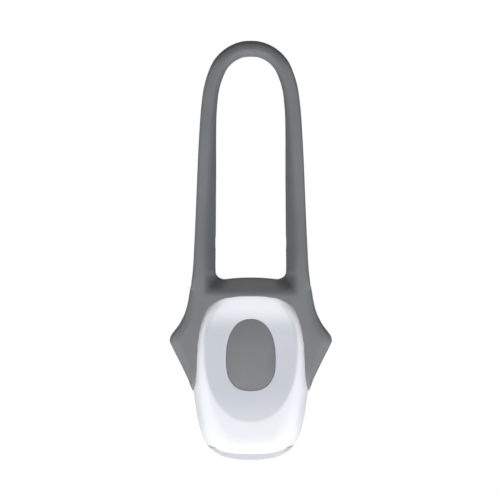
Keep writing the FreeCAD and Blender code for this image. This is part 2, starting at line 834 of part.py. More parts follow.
sculpted("front_shell", make_front_shell())
sculpted("rear_shell", make_rear_shell())
sculpted("shell_seal", make_shell_seal())
sculpted("lens", make_lens())
sculpted("lens_seal", make_lens_seal())
sculpted("reflector", make_reflector())
sculpted("button_pad", make_button())
sculpted("silicone_holder", make_holder())
sculpted("strap_loop", make_strap())


# Battery tray, coin cells and their contacts

tray_ring = disc("tray_ring", TRAY_RADIUS, "sizes.back_wall", CELLS_FRONT + " - sizes.tray_drop",
                 "sizes.cell_height")
tray_bore = disc("tray_bore", "sizes.cell_radius + sizes.cell_gap", "0", BOARD_BACK, "sizes.cell_height")
tray_mouth = block("tray_mouth", "sizes.tray_mouth_half_width", "0", BOARD_BACK,
                   "sizes.cell_height - 2 * sizes.cell_radius", "sizes.cell_height")
cut("battery_tray", tray_ring, [tray_bore, tray_mouth])


def coin_cell(name, back):
    """A coin cell: its wide can, and behind it the narrower cap of the other pole."""
    can = disc(name + "_can", "sizes.cell_radius", back + " + sizes.cell_step",
               back + " + sizes.cell_thickness", "sizes.cell_height")
    cap = disc(name + "_cap", "sizes.cell_radius - sizes.cell_rim", back, back + " + sizes.cell_step",
               "sizes.cell_height")
    return fuse(name, [can, cap])


coin_cell("coin_cell_rear", CELL_BACK)
coin_cell("coin_cell_front", "(%s + sizes.cell_thickness)" % CELL_BACK)

CONTACT_LOW = "sizes.cell_height - sizes.contact_half_height"
CONTACT_HIGH = "sizes.cell_height + sizes.contact_half_height"
RISER_LOW = "sizes.board_foot + sizes.riser_inset"
fuse("negative_contact", [
    block("negative_plate", "sizes.contact_half_width", "sizes.back_wall", CELL_BACK,
          CONTACT_LOW, CONTACT_HIGH),
    block("negative_strip", "sizes.riser_half_width", "sizes.back_wall", CELL_BACK,
          RISER_LOW, "sizes.cell_height"),
    block("negative_riser", "sizes.riser_half_width", "sizes.back_wall", BOARD_BACK,
          RISER_LOW, RISER_LOW + " + sizes.contact_thickness"),
])
fuse("positive_contact", [
    block("positive_plate", "sizes.contact_half_width", CELLS_FRONT,
          CELLS_FRONT + " + sizes.contact_thickness", CONTACT_LOW, CONTACT_HIGH),
    block("positive_riser", "sizes.riser_half_width", CELLS_FRONT, BOARD_BACK,
          CONTACT_HIGH + " - sizes.contact_thickness", CONTACT_HIGH),
])


# Lamps and their leads

LEAD_HEIGHT = LAMP_TOP + " + sizes.lead_rise"
SIDES = (("left", -1), ("right", 1))


def lamp(side_name, side):
    """A round lamp that points down: a domed tip, a barrel and a flange at its top."""
    name = "lamp_" + side_name
    across = "%d * sizes.lamp_across" % side
    middle = "sizes.lamp_height + sizes.lamp_radius"
    tip = doc.addObject("Part::Sphere", name + "_tip")
    tip.setExpression("Radius", "sizes.lamp_radius")
    place(tip, across, "sizes.seam_depth", middle)
    barrel = post(name + "_barrel", "sizes.lamp_radius", middle, LAMP_TOP, "sizes.seam_depth", across)
    flange = post(name + "_flange", "sizes.lamp_flange_radius", LAMP_TOP + " - sizes.lamp_flange", LAMP_TOP,
                  "sizes.seam_depth", across)
    return fuse(name, [tip, barrel, flange])


def lead(side_name, across, number):
    """A lamp's lead: up out of the lamp, then forward through the circuit board."""
    name = "lead_%s_%d" % (side_name, number)
    rise = post(name + "_rise", "sizes.lead_radius", LAMP_TOP, LEAD_HEIGHT + " + sizes.lead_radius",
                "sizes.seam_depth", across)
    run = disc(name + "_run", "sizes.lead_radius", "sizes.seam_depth", BOARD_FRONT + " + sizes.lead_end",
               LEAD_HEIGHT, across)
    return fuse(name, [rise, run])


lead_spots = []
for side_name, side in SIDES:
    lamp(side_name, side)
    for number, lead_side in enumerate((-1, 1), start=1):
        across = "%d * sizes.lamp_across + %d * sizes.lead_pitch / 2" % (side, lead_side)
        lead_spots.append((side_name, across, number))
group("lamp_leads", [lead(*spot) for spot in lead_spots])


# Circuit board, its screws and what is soldered to it

def board_screw_places():
    for side_name, side in SIDES:
        for level in ("low", "high"):
            across = "%d * sizes.board_screw_across" % side
            yield side_name + "_" + level, across, "sizes.board_screw_" + level


board_body = fuse("board_body", [
    block("board_main", "sizes.board_half_width", BOARD_BACK, BOARD_FRONT,
          "sizes.board_shoulder", "sizes.board_top"),
    block("board_tongue", "sizes.board_tongue_half_width", BOARD_BACK, BOARD_FRONT,
          "sizes.board_foot", "sizes.board_shoulder"),
])
board_holes = [disc("board_hole_" + name, "sizes.board_screw_radius + sizes.hole_gap", CELLS_FRONT,
                    BOARD_FRONT + " + sizes.board_gap", height, across)
               for name, across, height in board_screw_places()]
board_holes += [disc("lead_hole_%s_%d" % (side_name, number), "sizes.lead_radius + sizes.hole_gap",
                     CELLS_FRONT, BOARD_FRONT + " + sizes.board_gap", LEAD_HEIGHT, across)
                for side_name, across, number in lead_spots]
cut("circuit_board", board_body, board_holes)


def screw(name, radius, head_radius, head_back, shaft_back, front, height, across):
    head = disc(name + "_head", head_radius, head_back, shaft_back, height, across)
    shaft = disc(name + "_shaft", radius, shaft_back, front, height, across)
    return fuse(name, [head, shaft])


group("board_screws", [
    screw("board_screw_" + name, "sizes.board_screw_radius", "sizes.board_screw_head_radius",
          BOARD_BACK + " - sizes.board_screw_head", BOARD_BACK,
          BOARD_FRONT + " + sizes.board_screw_bite", height, across)
    for name, across, height in board_screw_places()
])
group("shell_screws", [
    screw("shell_screw_" + side_name, "sizes.shell_screw_radius", "sizes.shell_screw_head_radius",
          "0", "sizes.shell_screw_head", "sizes.shell_screw_head + sizes.shell_screw_length",
          "sizes.shell_screw_height", "%d * sizes.shell_screw_across" % side)
    for side_name, side in SIDES
])


def component(name, wide, tall, thickness, height, across):
    """A flat component soldered to the board's front."""
    return block(name, wide + " / 2", BOARD_FRONT, "%s + %s" % (BOARD_FRONT, thickness),
                 "%s - %s / 2" % (height, tall), "%s + %s / 2" % (height, tall), across)


component("controller_chip", "sizes.chip_width", "sizes.chip_length", "sizes.chip_thickness",
          "sizes.chip_height", "-sizes.chip_across")
component("capacitor", "sizes.capacitor_length", "sizes.capacitor_width", "sizes.capacitor_thickness",
          "sizes.capacitor_height", "-sizes.capacitor_across")
RESISTOR_COUNT = 3
group("resistors", [
    component("resistor_%d" % (index + 1), "sizes.resistor_length", "sizes.resistor_width",
              "sizes.resistor_thickness", "sizes.resistor_height + %d * sizes.resistor_pitch" % index,
              "sizes.resistor_across")
    for index in range(RESISTOR_COUNT)
])


# Push switch under the button

SWITCH_LOW = "sizes.button_widest_height - sizes.switch_half_width"
SWITCH_HIGH = "sizes.button_widest_height + sizes.switch_half_width"
SWITCH_FRONT = "(%s + sizes.switch_cover)" % COVER_BACK
DOME_BACK = "(%s + sizes.switch_floor)" % BOARD_FRONT
PLUNGER_BACK = "(%s + sizes.switch_dome + sizes.button_travel + sizes.button_play)" % DOME_BACK
PLUNGER_BORE = "sizes.plunger_radius + sizes.plunger_gap"
switch_block = block("switch_block", "sizes.switch_half_width", BOARD_FRONT, COVER_BACK, SWITCH_LOW,
                     SWITCH_HIGH)
switch_pocket = disc("switch_pocket", "sizes.plunger_flange_radius + sizes.plunger_gap", DOME_BACK,
                     SWITCH_FRONT, "sizes.button_widest_height")
cut("switch_body", switch_block, [switch_pocket])
disc("switch_dome", "sizes.plunger_flange_radius", DOME_BACK, DOME_BACK + " + sizes.switch_dome",
     "sizes.button_widest_height")
cover_plate = block("cover_plate", "sizes.switch_half_width - sizes.cover_inset", COVER_BACK, SWITCH_FRONT,
                    SWITCH_LOW + " + sizes.cover_inset", SWITCH_HIGH + " - sizes.cover_inset")
cover_hole = disc("cover_hole", PLUNGER_BORE, BOARD_FRONT, SWITCH_FRONT + " + sizes.plunger_proud",
                  "sizes.button_widest_height")
cut("switch_cover", cover_plate, [cover_hole])
fuse("switch_plunger", [
    disc("plunger_pin", "sizes.plunger_radius", PLUNGER_BACK, SWITCH_FRONT + " + sizes.plunger_proud",
         "sizes.button_widest_height"),
    disc("plunger_rim", "sizes.plunger_flange_radius", PLUNGER_BACK,
         PLUNGER_BACK + " + sizes.plunger_flange", "sizes.button_widest_height"),
])

NODES = [
    "silicone_holder", "strap_loop", "front_shell", "rear_shell", "shell_seal", "lens", "lens_seal",
    "reflector", "button_pad", "battery_tray", "coin_cell_rear", "coin_cell_front", "negative_contact",
    "positive_contact", "lamp_left", "lamp_right", "lamp_leads", "circuit_board", "board_screws",
    "shell_screws", "controller_chip", "capacitor", "resistors", "switch_body", "switch_dome",
    "switch_cover", "switch_plunger",
]

doc.recompute()
for item in doc.Objects:
    if {"Invalid", "Error"} & set(item.State):
        raise ValueError("%s failed: %s" % (item.Label, item.State))

os.makedirs("parts", exist_ok=True)
for name in NODES:
    shape = doc.getObject(name).Shape
    if shape.isNull() or not shape.isValid() or shape.Volume <= 0:
        raise ValueError("%s has no valid solid" % name)
    shape.exportStep("parts/%s.step" % name)
    print(name, "solids", len(shape.Solids), "volume", round(shape.Volume, 1))
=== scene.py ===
import json
import math

import bmesh
import bpy
import numpy as np
from mathutils import Matrix, Vector


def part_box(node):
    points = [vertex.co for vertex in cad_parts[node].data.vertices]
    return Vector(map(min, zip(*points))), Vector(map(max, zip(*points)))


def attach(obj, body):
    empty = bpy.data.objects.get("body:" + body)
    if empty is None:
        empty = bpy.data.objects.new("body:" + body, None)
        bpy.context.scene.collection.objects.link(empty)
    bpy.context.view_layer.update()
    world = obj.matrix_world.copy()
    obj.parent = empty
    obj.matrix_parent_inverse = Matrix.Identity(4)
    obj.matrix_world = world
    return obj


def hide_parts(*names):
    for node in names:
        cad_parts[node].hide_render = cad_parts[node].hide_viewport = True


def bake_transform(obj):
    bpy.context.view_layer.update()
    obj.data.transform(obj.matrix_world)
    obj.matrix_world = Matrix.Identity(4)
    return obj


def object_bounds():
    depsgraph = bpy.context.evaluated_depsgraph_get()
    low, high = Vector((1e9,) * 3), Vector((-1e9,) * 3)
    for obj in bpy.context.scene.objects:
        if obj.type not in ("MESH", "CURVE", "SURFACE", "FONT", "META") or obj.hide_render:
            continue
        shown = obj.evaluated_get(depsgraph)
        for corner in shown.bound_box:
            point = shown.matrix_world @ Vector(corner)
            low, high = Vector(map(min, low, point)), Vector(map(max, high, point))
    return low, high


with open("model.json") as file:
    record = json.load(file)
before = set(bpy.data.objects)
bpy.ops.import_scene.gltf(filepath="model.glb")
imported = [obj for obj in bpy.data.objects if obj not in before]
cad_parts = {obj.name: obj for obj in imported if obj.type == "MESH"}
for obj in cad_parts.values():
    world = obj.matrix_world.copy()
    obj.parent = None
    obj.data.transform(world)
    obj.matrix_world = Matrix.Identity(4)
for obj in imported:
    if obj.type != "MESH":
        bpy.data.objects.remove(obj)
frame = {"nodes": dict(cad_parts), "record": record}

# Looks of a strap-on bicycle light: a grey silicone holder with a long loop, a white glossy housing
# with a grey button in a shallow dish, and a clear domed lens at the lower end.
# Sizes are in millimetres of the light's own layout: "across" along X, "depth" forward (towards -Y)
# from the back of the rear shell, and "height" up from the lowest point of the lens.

cad_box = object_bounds()

MM = 0.001
rear_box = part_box("rear_shell")
front_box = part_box("front_shell")
lens_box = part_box("lens")
button_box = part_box("button_pad")
BACK_Y = rear_box[1][1]
FOOT_Z = lens_box[0][2]


def spot(across, depth, height):
    """A point of the light's layout, in metres in the frame."""
    return Vector((across * MM, BACK_Y - depth * MM, FOOT_Z + height * MM))


def height_of(z):
    return (z - FOOT_Z) / MM


def depth_of(y):
    return (BACK_Y - y) / MM


# Housing
SEAM_DEPTH = depth_of(rear_box[0][1])
CROWN_DEPTH = depth_of(front_box[0][1])
HOUSING_HALF_WIDTH = front_box[1][0] / MM
HOUSING_TOP = height_of(front_box[1][2])
HOUSING_WIDEST = 19.0
HOUSING_FOOT = 0.6
CROWN_POWER = 3.1
FOOT_POWER = 4.0
FOOT_TAPER = 0.0085
SHELL_WALL = 1.3
REAR_INSET = 3.0
REAR_POWER = 2.3
REAR_STEPS = 20
SEAM_ROUND = 0.12
SEAM_APART = 0.01
FRONT_WALL_BACK = 12.4
FRONT_INNER_ROUND = 1.8
REAR_INNER_ROUND = 1.3
INNER_POWER = 2.0
INNER_STEPS = 6
# Front shell's rounded side: how far its outline draws in, and its depth there, first along the sides
# and then at the top and the foot
FRONT_PROFILE = [(0.0, 7.1, 7.1), (0.06, 8.4, 9.2), (0.22, 10.2, 11.2), (0.48, 11.4, 12.6),
                 (0.82, 12.2, 13.4), (1.2, 12.85, 13.75), (1.6, 13.42, 14.1), (2.15, 13.92, 14.38),
                 (3.05, 14.38, 14.6), (4.2, 14.76, 14.84), (5.6, 15.0, 15.0)]
PROFILE_STEPS = 5
# How steeply the outline faces up or down where the depths for top and foot set in, and where they hold
END_FADE = (0.70, 0.97)
# Shares of the way across the back and the front wall, where rings lie
BACK_SHARES = (0.25, 0.5, 0.75, 0.97)
INNER_BACK_SHARES = (0.97, 0.5)
INNER_FRONT_SHARES = (0.35, 0.7)
CROWN_STEPS = 36

# Dish round the button, and the outline of its satin face, which also carries painted shade
DISH_DEPTH = 13.7
DISH_HEIGHT = 26.5
DISH_BEND_ACROSS = 0.0062
DISH_BEND_UP = 0.0032
DISH_BEND_DOWN = 0.0030
DISH_SOFTNESS = 0.16
DISH_FOOT_SOFTNESS = 0.7
DISH_FOOT = (6.0, 16.0)
SATIN_AND_SHADE_HALF_WIDTH = 11.55
SATIN_AND_SHADE_WIDEST = 28.0
SATIN_AND_SHADE_TOP = 40.0
SATIN_AND_SHADE_FOOT = 9.9
SATIN_AND_SHADE_POWER_UP = 2.6
SATIN_AND_SHADE_POWER_DOWN = 2.2
SATIN_AND_SHADE_EDGE = 0.45
# Heights where the satin face and its painted shade fade out at the top and weaken towards the foot
SATIN_AND_SHADE_FADE = (32.0, 38.0)
SATIN_AND_SHADE_FOOT_FADE = 0.3
SATIN_AND_SHADE_FOOT_HEIGHTS = (11.0, 19.0)
SATIN_AND_SHADE_BACK = FRONT_WALL_BACK + 0.5
SATIN_AND_SHADE_COUNT = 720

# Lower edge of the front, seen from the front: an arc that fades out towards the seam and upwards
RIM_ARC_FOOT = 1.82
RIM_ARC_RISE = 2.1
RIM_ARC_REACH = 11.0
RIM_ARC_POWER = 2.8
RIM_ARC_DEPTHS = (SEAM_DEPTH + 0.5, CROWN_DEPTH - 1.0)
RIM_ARC_HEIGHTS = (2.0, 9.0)

# Lens at the lower end
RIM_HEIGHT = 4.0
RIM_TILT = math.radians(13.0)
RIM_FLOOR = 1.2
LENS_HALF_WIDTH = 10.8
LENS_HALF_DEPTH = 5.8
LENS_DOME = 3.6
LENS_GROOVE = 0.12
LENS_GROOVE_DEPTH = 0.25
LENS_WALL = 1.0
LENS_EDGE = 0.1
LENS_COUNT = 128
# Lens's side: shares of its half width, and there of its dome
LENS_PROFILE = [(1.0, 0.0), (0.98, 0.10), (0.935, 0.244), (0.88, 0.385), (0.815, 0.522), (0.74, 0.661),
                (0.655, 0.775), (0.56, 0.856), (0.42, 0.92), (0.2, 0.96), (0.02, 0.97)]
SPIGOT_STEP = 1.3
SPIGOT_WALL = 0.8
SPIGOT_LENGTH = 2.6
SPIGOT_GAP = 0.12
SPIGOT_ROOM_BELOW = -1.0
SPIGOT_ROOM_COUNT = 96

# Button, with a flange behind the front shell's window
BUTTON_HALF_WIDTH = 6.03
BUTTON_WIDEST = 25.2
BUTTON_TOP = 35.1
BUTTON_FOOT = 17.6
BUTTON_POWER = 2.3
BUTTON_FOOT_POWER = 2.5
BUTTON_GAP = 0.06
BUTTON_PROUD = 0.12
BUTTON_DOME = 0.95
BUTTON_FLANGE = 1.3
BUTTON_FLANGE_BACK = depth_of(button_box[1][1]) + 0.3
BUTTON_FLANGE_FRONT = FRONT_WALL_BACK - 0.1
BUTTON_ROUND = 0.12
BUTTON_COUNT = 144
# Share of the way to the button's middle that its last ring reaches
BUTTON_LAST_RING = 0.985
DOME_STEPS = 20
WINDOW_LIP = 0.15
ROUND_STEPS = 6

# Strap loop and the neck below it
NECK_DEPTH = 9.5
STRAP_BACK = 7.0
RIB_FRONT = 12.8
# Heights, and there the depth of the strap's front: it leans back above the neck
STRAP_HEIGHTS = [45.5, 50.0, 55.0, 60.0, 65.0, 72.0, 82.0, 95.0]
STRAP_FRONTS = [12.8, 12.5, 12.0, 11.6, 11.4, 11.42, 11.7, 12.0]
ARCH_HEIGHT = 93.1
ARCH_OUTER = 10.9
ARCH_INNER = 7.1
ARCH_START = 20
ARCH_SWEEP = 140
ARCH_STEPS = 16
LOOP_STEPS = 6
FRONT_STEPS = 24
BACK_STEPS = 4

SAME_POINT = 1e-7
NODES = frame["nodes"]
scene = bpy.context.scene


# Mesh helpers

def new_object(name, mesh):
    made = bpy.data.objects.new(name, mesh)
    scene.collection.objects.link(made)
    return made


def mesh_object(name, points, faces):
    mesh = bpy.data.meshes.new(name)
    mesh.from_pydata([tuple(p) for p in points], [], faces)
    mesh.validate()
    work = bmesh.new()
    work.from_mesh(mesh)
    bmesh.ops.remove_doubles(work, verts=work.verts, dist=SAME_POINT)
    bmesh.ops.recalc_face_normals(work, faces=work.faces)
    work.to_mesh(mesh)
    work.free()
    return new_object(name, mesh)


def smooth(made, angle):
    """Shades a piece smoothly, apart from its edges sharper than an angle in degrees."""
    for face in made.data.polygons:
        face.use_smooth = True
    made.data.set_sharp_from_angle(angle=math.radians(angle))


def apply_modifiers(made):
    """Gives a piece the mesh that its modifiers make of it, and takes them off."""
    graph = bpy.context.evaluated_depsgraph_get()
    mesh = bpy.data.meshes.new_from_object(made.evaluated_get(graph))
    made.modifiers.clear()
    made.data = mesh


def cut_away(made, cutter):
    """Cuts a piece by another, which goes."""
    modifier = made.modifiers.new("cut", "BOOLEAN")
    modifier.operation = "DIFFERENCE"
    modifier.solver = "EXACT"
    modifier.object = cutter
    apply_modifiers(made)
    bpy.data.objects.remove(cutter)


def ring_faces(rings, count, closed_ends=False):
    """Quads between rings of the same count; the last ring joins the first if the rings close up."""
    faces = []
    pairs = list(zip(range(rings - 1), range(1, rings)))
    if closed_ends:
        pairs.append((rings - 1, 0))
    for low, high in pairs:
        for index in range(count):
            after = (index + 1) % count
            faces.append((low * count + index, low * count + after,
                          high * count + after, high * count + index))
    return faces


def capped_faces(rings, count):
    """Quads between rings, and a face over the first and the last ring."""
    last = (rings - 1) * count
    return ring_faces(rings, count) + [tuple(range(count))[::-1], tuple(range(last, last + count))]


def points_of(mesh):
    """Across, depth and height of a mesh's points."""
    found = np.zeros(len(mesh.vertices) * 3)
    mesh.vertices.foreach_get("co", found)
    found = found.reshape(-1, 3)
    return found[:, 0] / MM, (BACK_Y - found[:, 1]) / MM, (found[:, 2] - FOOT_Z) / MM


def put_points(mesh, across, depth, height):
    moved = np.stack([across * MM, BACK_Y - depth * MM, FOOT_Z + height * MM], axis=1)
    mesh.vertices.foreach_set("co", moved.ravel())
    mesh.update()


def ease(value, start, end):
    """0 at start, 1 at end, and smooth between them."""
    share = np.clip((value - start) / (end - start), 0.0, 1.0)
    return share * share * (3 - 2 * share)


def least(first, second):
    """The lesser of two amounts, smoothly, and none where either is none."""
    sharpness = 5
    nearly_none = 1e-12
    return first * second / (first ** sharpness + second ** sharpness + nearly_none) ** (1 / sharpness)


def soft_min(first, second, softness):
    """The lesser of two surfaces, with the crease between them rounded off."""
    return 0.5 * (first + second - np.sqrt((first - second) ** 2 + softness ** 2))


def spline(points, steps):
    """Points of a smooth curve through the given ones."""
    last = len(points) - 1
    curve = []
    for index in range(last):
        p0, p1, p2, p3 = (points[min(max(index + offset, 0), last)] for offset in (-1, 0, 1, 2))
        for step in range(steps):
            t = step / steps
            curve.append(0.5 * ((2 * p1) + (p2 - p0) * t + (2 * p0 - 5 * p1 + 4 * p2 - p3) * t ** 2
                                + (3 * p1 - p0 - 3 * p2 + p3) * t ** 3))
    curve.append(points[-1])
    return curve


# Outlines seen from the front

def egg(count, half_width, widest, top, foot, power_up, power_down, taper=0.0):
    """An evenly spaced outline, anticlockwise from the right, and its outward directions."""
    fine = 4000
    angle = np.linspace(0, 2 * np.pi, fine, endpoint=False)
    sine = np.sin(angle)
    cosine = np.cos(angle)
    power = np.where(sine >= 0, power_up, power_down)
    reach = np.where(sine >= 0, top - widest, widest - foot)
    rise = reach * np.sign(sine) * np.abs(sine) ** (2 / power)
    across = half_width * np.sign(cosine) * np.abs(cosine) ** (2 / power)
    across = across * (1 + taper * np.minimum(rise, 0))
    curve = np.stack([across, widest + rise], axis=1)
    closed = np.vstack([curve, curve[:1]])
    travel = np.concatenate([[0], np.cumsum(np.linalg.norm(np.diff(closed, axis=0), axis=1))])
    marks = np.linspace(0, travel[-1], count, endpoint=False)
    even = np.stack([np.interp(marks, travel, closed[:, side]) for side in (0, 1)], axis=1)
    along = np.roll(even, -1, axis=0) - np.roll(even, 1, axis=0)
    outward = np.stack([along[:, 1], -along[:, 0]], axis=1)
    outward /= np.linalg.norm(outward, axis=1)[:, None]
    return even, outward


def at_angles(outline, centre, targets):
    """Points of an outline that lie in the same directions from a centre as the targets do."""
    def bearing(points):
        return np.arctan2(points[:, 1] - centre[1], points[:, 0] - centre[0])
    found = bearing(outline)
    order = np.argsort(found)
    found = found[order]
    sorted_outline = outline[order]
    wrapped = np.concatenate([found - 2 * np.pi, found, found + 2 * np.pi])
    tripled = np.vstack([sorted_outline] * 3)
    wanted = bearing(targets)
    return np.stack([np.interp(wanted, wrapped, tripled[:, side]) for side in (0, 1)], axis=1)


SHELL_COUNT = 240
housing_edge, housing_out = egg(SHELL_COUNT, HOUSING_HALF_WIDTH, HOUSING_WIDEST, HOUSING_TOP, HOUSING_FOOT,
                                CROWN_POWER, FOOT_POWER, FOOT_TAPER)


def dish_at(flat):
    """Depth of the shallow dish round the button."""
    rise = flat[:, 1] - DISH_HEIGHT
    bend = np.where(rise > 0, DISH_BEND_UP, DISH_BEND_DOWN)
    return DISH_DEPTH + DISH_BEND_ACROSS * flat[:, 0] ** 2 + bend * rise ** 2


def dished(flat, depth):
    """The front's surface: what it would be without the dish, or the dish where that lies deeper."""
    foot = 1 - ease(flat[:, 1], *DISH_FOOT)
    softness = DISH_SOFTNESS + foot * (DISH_FOOT_SOFTNESS - DISH_SOFTNESS)
    return soft_min(depth, dish_at(flat), softness)


def ring_points(flat, depth):
    depths = np.broadcast_to(depth, len(flat))
    return [spot(x, d, z) for (x, z), d in zip(flat, depths)]


def mesh_from_rings(name, rings, closed_ends):
    """A mesh through rings of the layout: each has its outline and its depth."""
    points = []
    for flat, depth in rings:
        points += ring_points(flat, depth)
    count = len(rings[0][0])
    faces = ring_faces(len(rings), count, True) if closed_ends else capped_faces(len(rings), count)
    return mesh_object(name, points, faces)


# Rim of the housing, cut off along a tilted plane

def rim_spot(local):
    """A point of the lens's own frame, whose z is 0 on the rim's plane, carried to its place."""
    turned = Matrix.Rotation(RIM_TILT, 3, "X") @ Vector(local)
    return spot(turned.x, SEAM_DEPTH - turned.y, RIM_HEIGHT + turned.z)


def oval_ring(half_width, half_depth, level, count):
    """Points of an oval parallel to the rim's plane, at a level above it."""
    turns = [2 * math.pi * index / count for index in range(count)]
    return [rim_spot((half_width * math.cos(turn), half_depth * math.sin(turn), level)) for turn in turns]


def trim_shell(shell):
    """Cuts the shell off along the rim's plane and opens it for the lens's spigot."""
    work = bmesh.new()
    work.from_mesh(shell.data)
    origin = rim_spot((0, 0, 0))
    normal = rim_spot((0, 0, 1)) - origin
    everything = work.verts[:] + work.edges[:] + work.faces[:]
    cut = bmesh.ops.bisect_plane(work, geom=everything, plane_co=origin, plane_no=normal, clear_inner=True)
    edges = [item for item in cut["geom_cut"] if isinstance(item, bmesh.types.BMEdge)]
    bmesh.ops.holes_fill(work, edges=edges, sides=0)
    bmesh.ops.triangulate(work, faces=[face for face in work.faces if len(face.verts) > 4])
    bmesh.ops.recalc_face_normals(work, faces=work.faces)
    work.to_mesh(shell.data)
    work.free()
    room = []
    for level in (SPIGOT_ROOM_BELOW, 2 * RIM_FLOOR):
        room += oval_ring(LENS_HALF_WIDTH - SPIGOT_STEP, LENS_HALF_DEPTH - SPIGOT_STEP, level,
                          SPIGOT_ROOM_COUNT)
    cut_away(shell, mesh_object("spigot_room", room, capped_faces(2, SPIGOT_ROOM_COUNT)))


def shape_rim(shell):
    """Bends the front's lower edge into an arc."""
    across, depth, height = points_of(shell.data)
    plane = RIM_HEIGHT - (CROWN_DEPTH - SEAM_DEPTH) * math.tan(RIM_TILT)
    arc = RIM_ARC_FOOT + RIM_ARC_RISE * (np.abs(across) / RIM_ARC_REACH) ** RIM_ARC_POWER - plane
    share = ease(depth, *RIM_ARC_DEPTHS) * (1 - ease(height, *RIM_ARC_HEIGHTS))
    put_points(shell.data, across, depth, height + arc * share)


def lifted(flat, depth, lift):
    """Keeps an inner outline above the floor behind the lens."""
    depths = np.broadcast_to(depth, len(flat))
    floor = RIM_HEIGHT + lift - (depths - SEAM_DEPTH) * math.tan(RIM_TILT)
    raised = flat.copy()
    raised[:, 1] = np.maximum(raised[:, 1], floor)
    return raised


def side_profile(steps, inset, power, back, front):
    """Insets and depths of a rounded side that turns from square to the seam to flat."""
    rows = []
    for index in range(steps + 1):
        turn = 0.5 * math.pi * index / steps
        drawn_in = inset * (1 - math.cos(turn) ** (2 / power))
        rows.append((drawn_in, back + (front - back) * math.sin(turn) ** (2 / power)))
    return rows


def mark_satin_and_painted_shade(shell):
    """Marks, from 0 to 1, how much of the dish's satin face and its painted shade each point of the front
    has.
    """
    across, depth, height = points_of(shell.data)
    outline = egg(SATIN_AND_SHADE_COUNT, SATIN_AND_SHADE_HALF_WIDTH, SATIN_AND_SHADE_WIDEST, SATIN_AND_SHADE_TOP, SATIN_AND_SHADE_FOOT,
                  SATIN_AND_SHADE_POWER_UP, SATIN_AND_SHADE_POWER_DOWN)[0]
    centre = np.array([0.0, SATIN_AND_SHADE_WIDEST])
    flat = np.stack([across, height], axis=1)
    edge = at_angles(outline, centre, flat)
    inside = np.linalg.norm(edge - centre, axis=1) - np.linalg.norm(flat - centre, axis=1)
    # The painted shade fades out towards the top and is lighter towards the foot
    share = ease(inside, -SATIN_AND_SHADE_EDGE, SATIN_AND_SHADE_EDGE) * (1 - ease(height, *SATIN_AND_SHADE_FADE))
    share = share * (1 - SATIN_AND_SHADE_FOOT_FADE * (1 - ease(height, *SATIN_AND_SHADE_FOOT_HEIGHTS)))
    share = share * (depth > SATIN_AND_SHADE_BACK)
    mark = shell.data.attributes.new("satin_and_painted_shade", "FLOAT", "POINT")
    mark.data.foreach_set("value", share.astype(np.float32))


def front_rings(gap):
    """Rings of the front's rounded side, each with its outline and its depth, grown by a gap."""
    ends = ease(np.abs(housing_out[:, 1]), *END_FADE)
    rings = []
    for place in spline([Vector(row) for row in FRONT_PROFILE], PROFILE_STEPS):
        flat = housing_edge - housing_out * (place.x - gap)
        rings.append((flat, place.y + (place.z - place.y) * ends))
    return rings


def inner_side(inset, front):
    """Rings of a shell's inner side, from its rounded inner corner to the seam."""
    rings = []
    for drawn_in, depth in side_profile(INNER_STEPS, inset, INNER_POWER, SEAM_DEPTH, front)[::-1]:
        flat = housing_edge - housing_out * (SHELL_WALL + drawn_in)
        rings.append((lifted(flat, depth, RIM_FLOOR), depth))
    return rings


def make_front_shell():
    window = egg(SHELL_COUNT, BUTTON_HALF_WIDTH + BUTTON_GAP, BUTTON_WIDEST, BUTTON_TOP + BUTTON_GAP,
                 BUTTON_FOOT - BUTTON_GAP, BUTTON_POWER, BUTTON_FOOT_POWER)[0]
    centre = np.array([0.0, BUTTON_WIDEST])
    rings = [(housing_edge - housing_out * SEAM_ROUND, SEAM_DEPTH + SEAM_APART)]
    for flat, depth in front_rings(0.0):
        rings.append((flat, dished(flat, depth)))
    crown = rings[-1][0]
    window_ring = at_angles(window, centre, crown)
    toward = window_ring - centre
    away = toward / np.linalg.norm(toward, axis=1)[:, None]
    for index in range(1, CROWN_STEPS + 1):
        flat = crown + (window_ring + away * WINDOW_LIP - crown) * (index / CROWN_STEPS)
        rings.append((flat, dished(flat, CROWN_DEPTH)))
    for index in range(1, ROUND_STEPS + 1):
        turn = 0.5 * math.pi * index / ROUND_STEPS
        flat = window_ring + away * WINDOW_LIP * (1 - math.sin(turn))
        rings.append((flat, dish_at(flat) - WINDOW_LIP * (1 - math.cos(turn))))
    rings.append((window_ring, FRONT_WALL_BACK))
    inner = housing_edge - housing_out * (SHELL_WALL + FRONT_INNER_ROUND)
    for share in INNER_FRONT_SHARES:
        flat = window_ring + (inner - window_ring) * share
        rings.append((lifted(flat, FRONT_WALL_BACK, RIM_FLOOR), FRONT_WALL_BACK))
    rings += inner_side(FRONT_INNER_ROUND, FRONT_WALL_BACK)
    shell = mesh_from_rings("front_housing", rings, True)
    trim_shell(shell)
    # Satin face of the dish, greyed with painted shade
    mark_satin_and_painted_shade(shell)
    shape_rim(shell)
    smooth(shell, 40)
    return shell


def make_rear_shell():
    rings = [(housing_edge - housing_out * SEAM_ROUND, SEAM_DEPTH - SEAM_APART)]
    for inset, depth in side_profile(REAR_STEPS, REAR_INSET, REAR_POWER, SEAM_DEPTH - SEAM_ROUND, 0.0):
        rings.append((housing_edge - housing_out * inset, depth))
    centre = np.array([0.0, BUTTON_WIDEST])
    flat_back = rings[-1][0]
    for share in BACK_SHARES:
        rings.append((flat_back + (centre - flat_back) * share, 0.0))
    inner_back = lifted(housing_edge - housing_out * (SHELL_WALL + REAR_INNER_ROUND), SHELL_WALL, RIM_FLOOR)
    for share in INNER_BACK_SHARES:
        rings.append((inner_back + (centre - inner_back) * share, SHELL_WALL))
    rings += inner_side(REAR_INNER_ROUND, SHELL_WALL)
    shell = mesh_from_rings("rear_housing", rings, True)
    trim_shell(shell)
    smooth(shell, 40)
    return shell


# Button

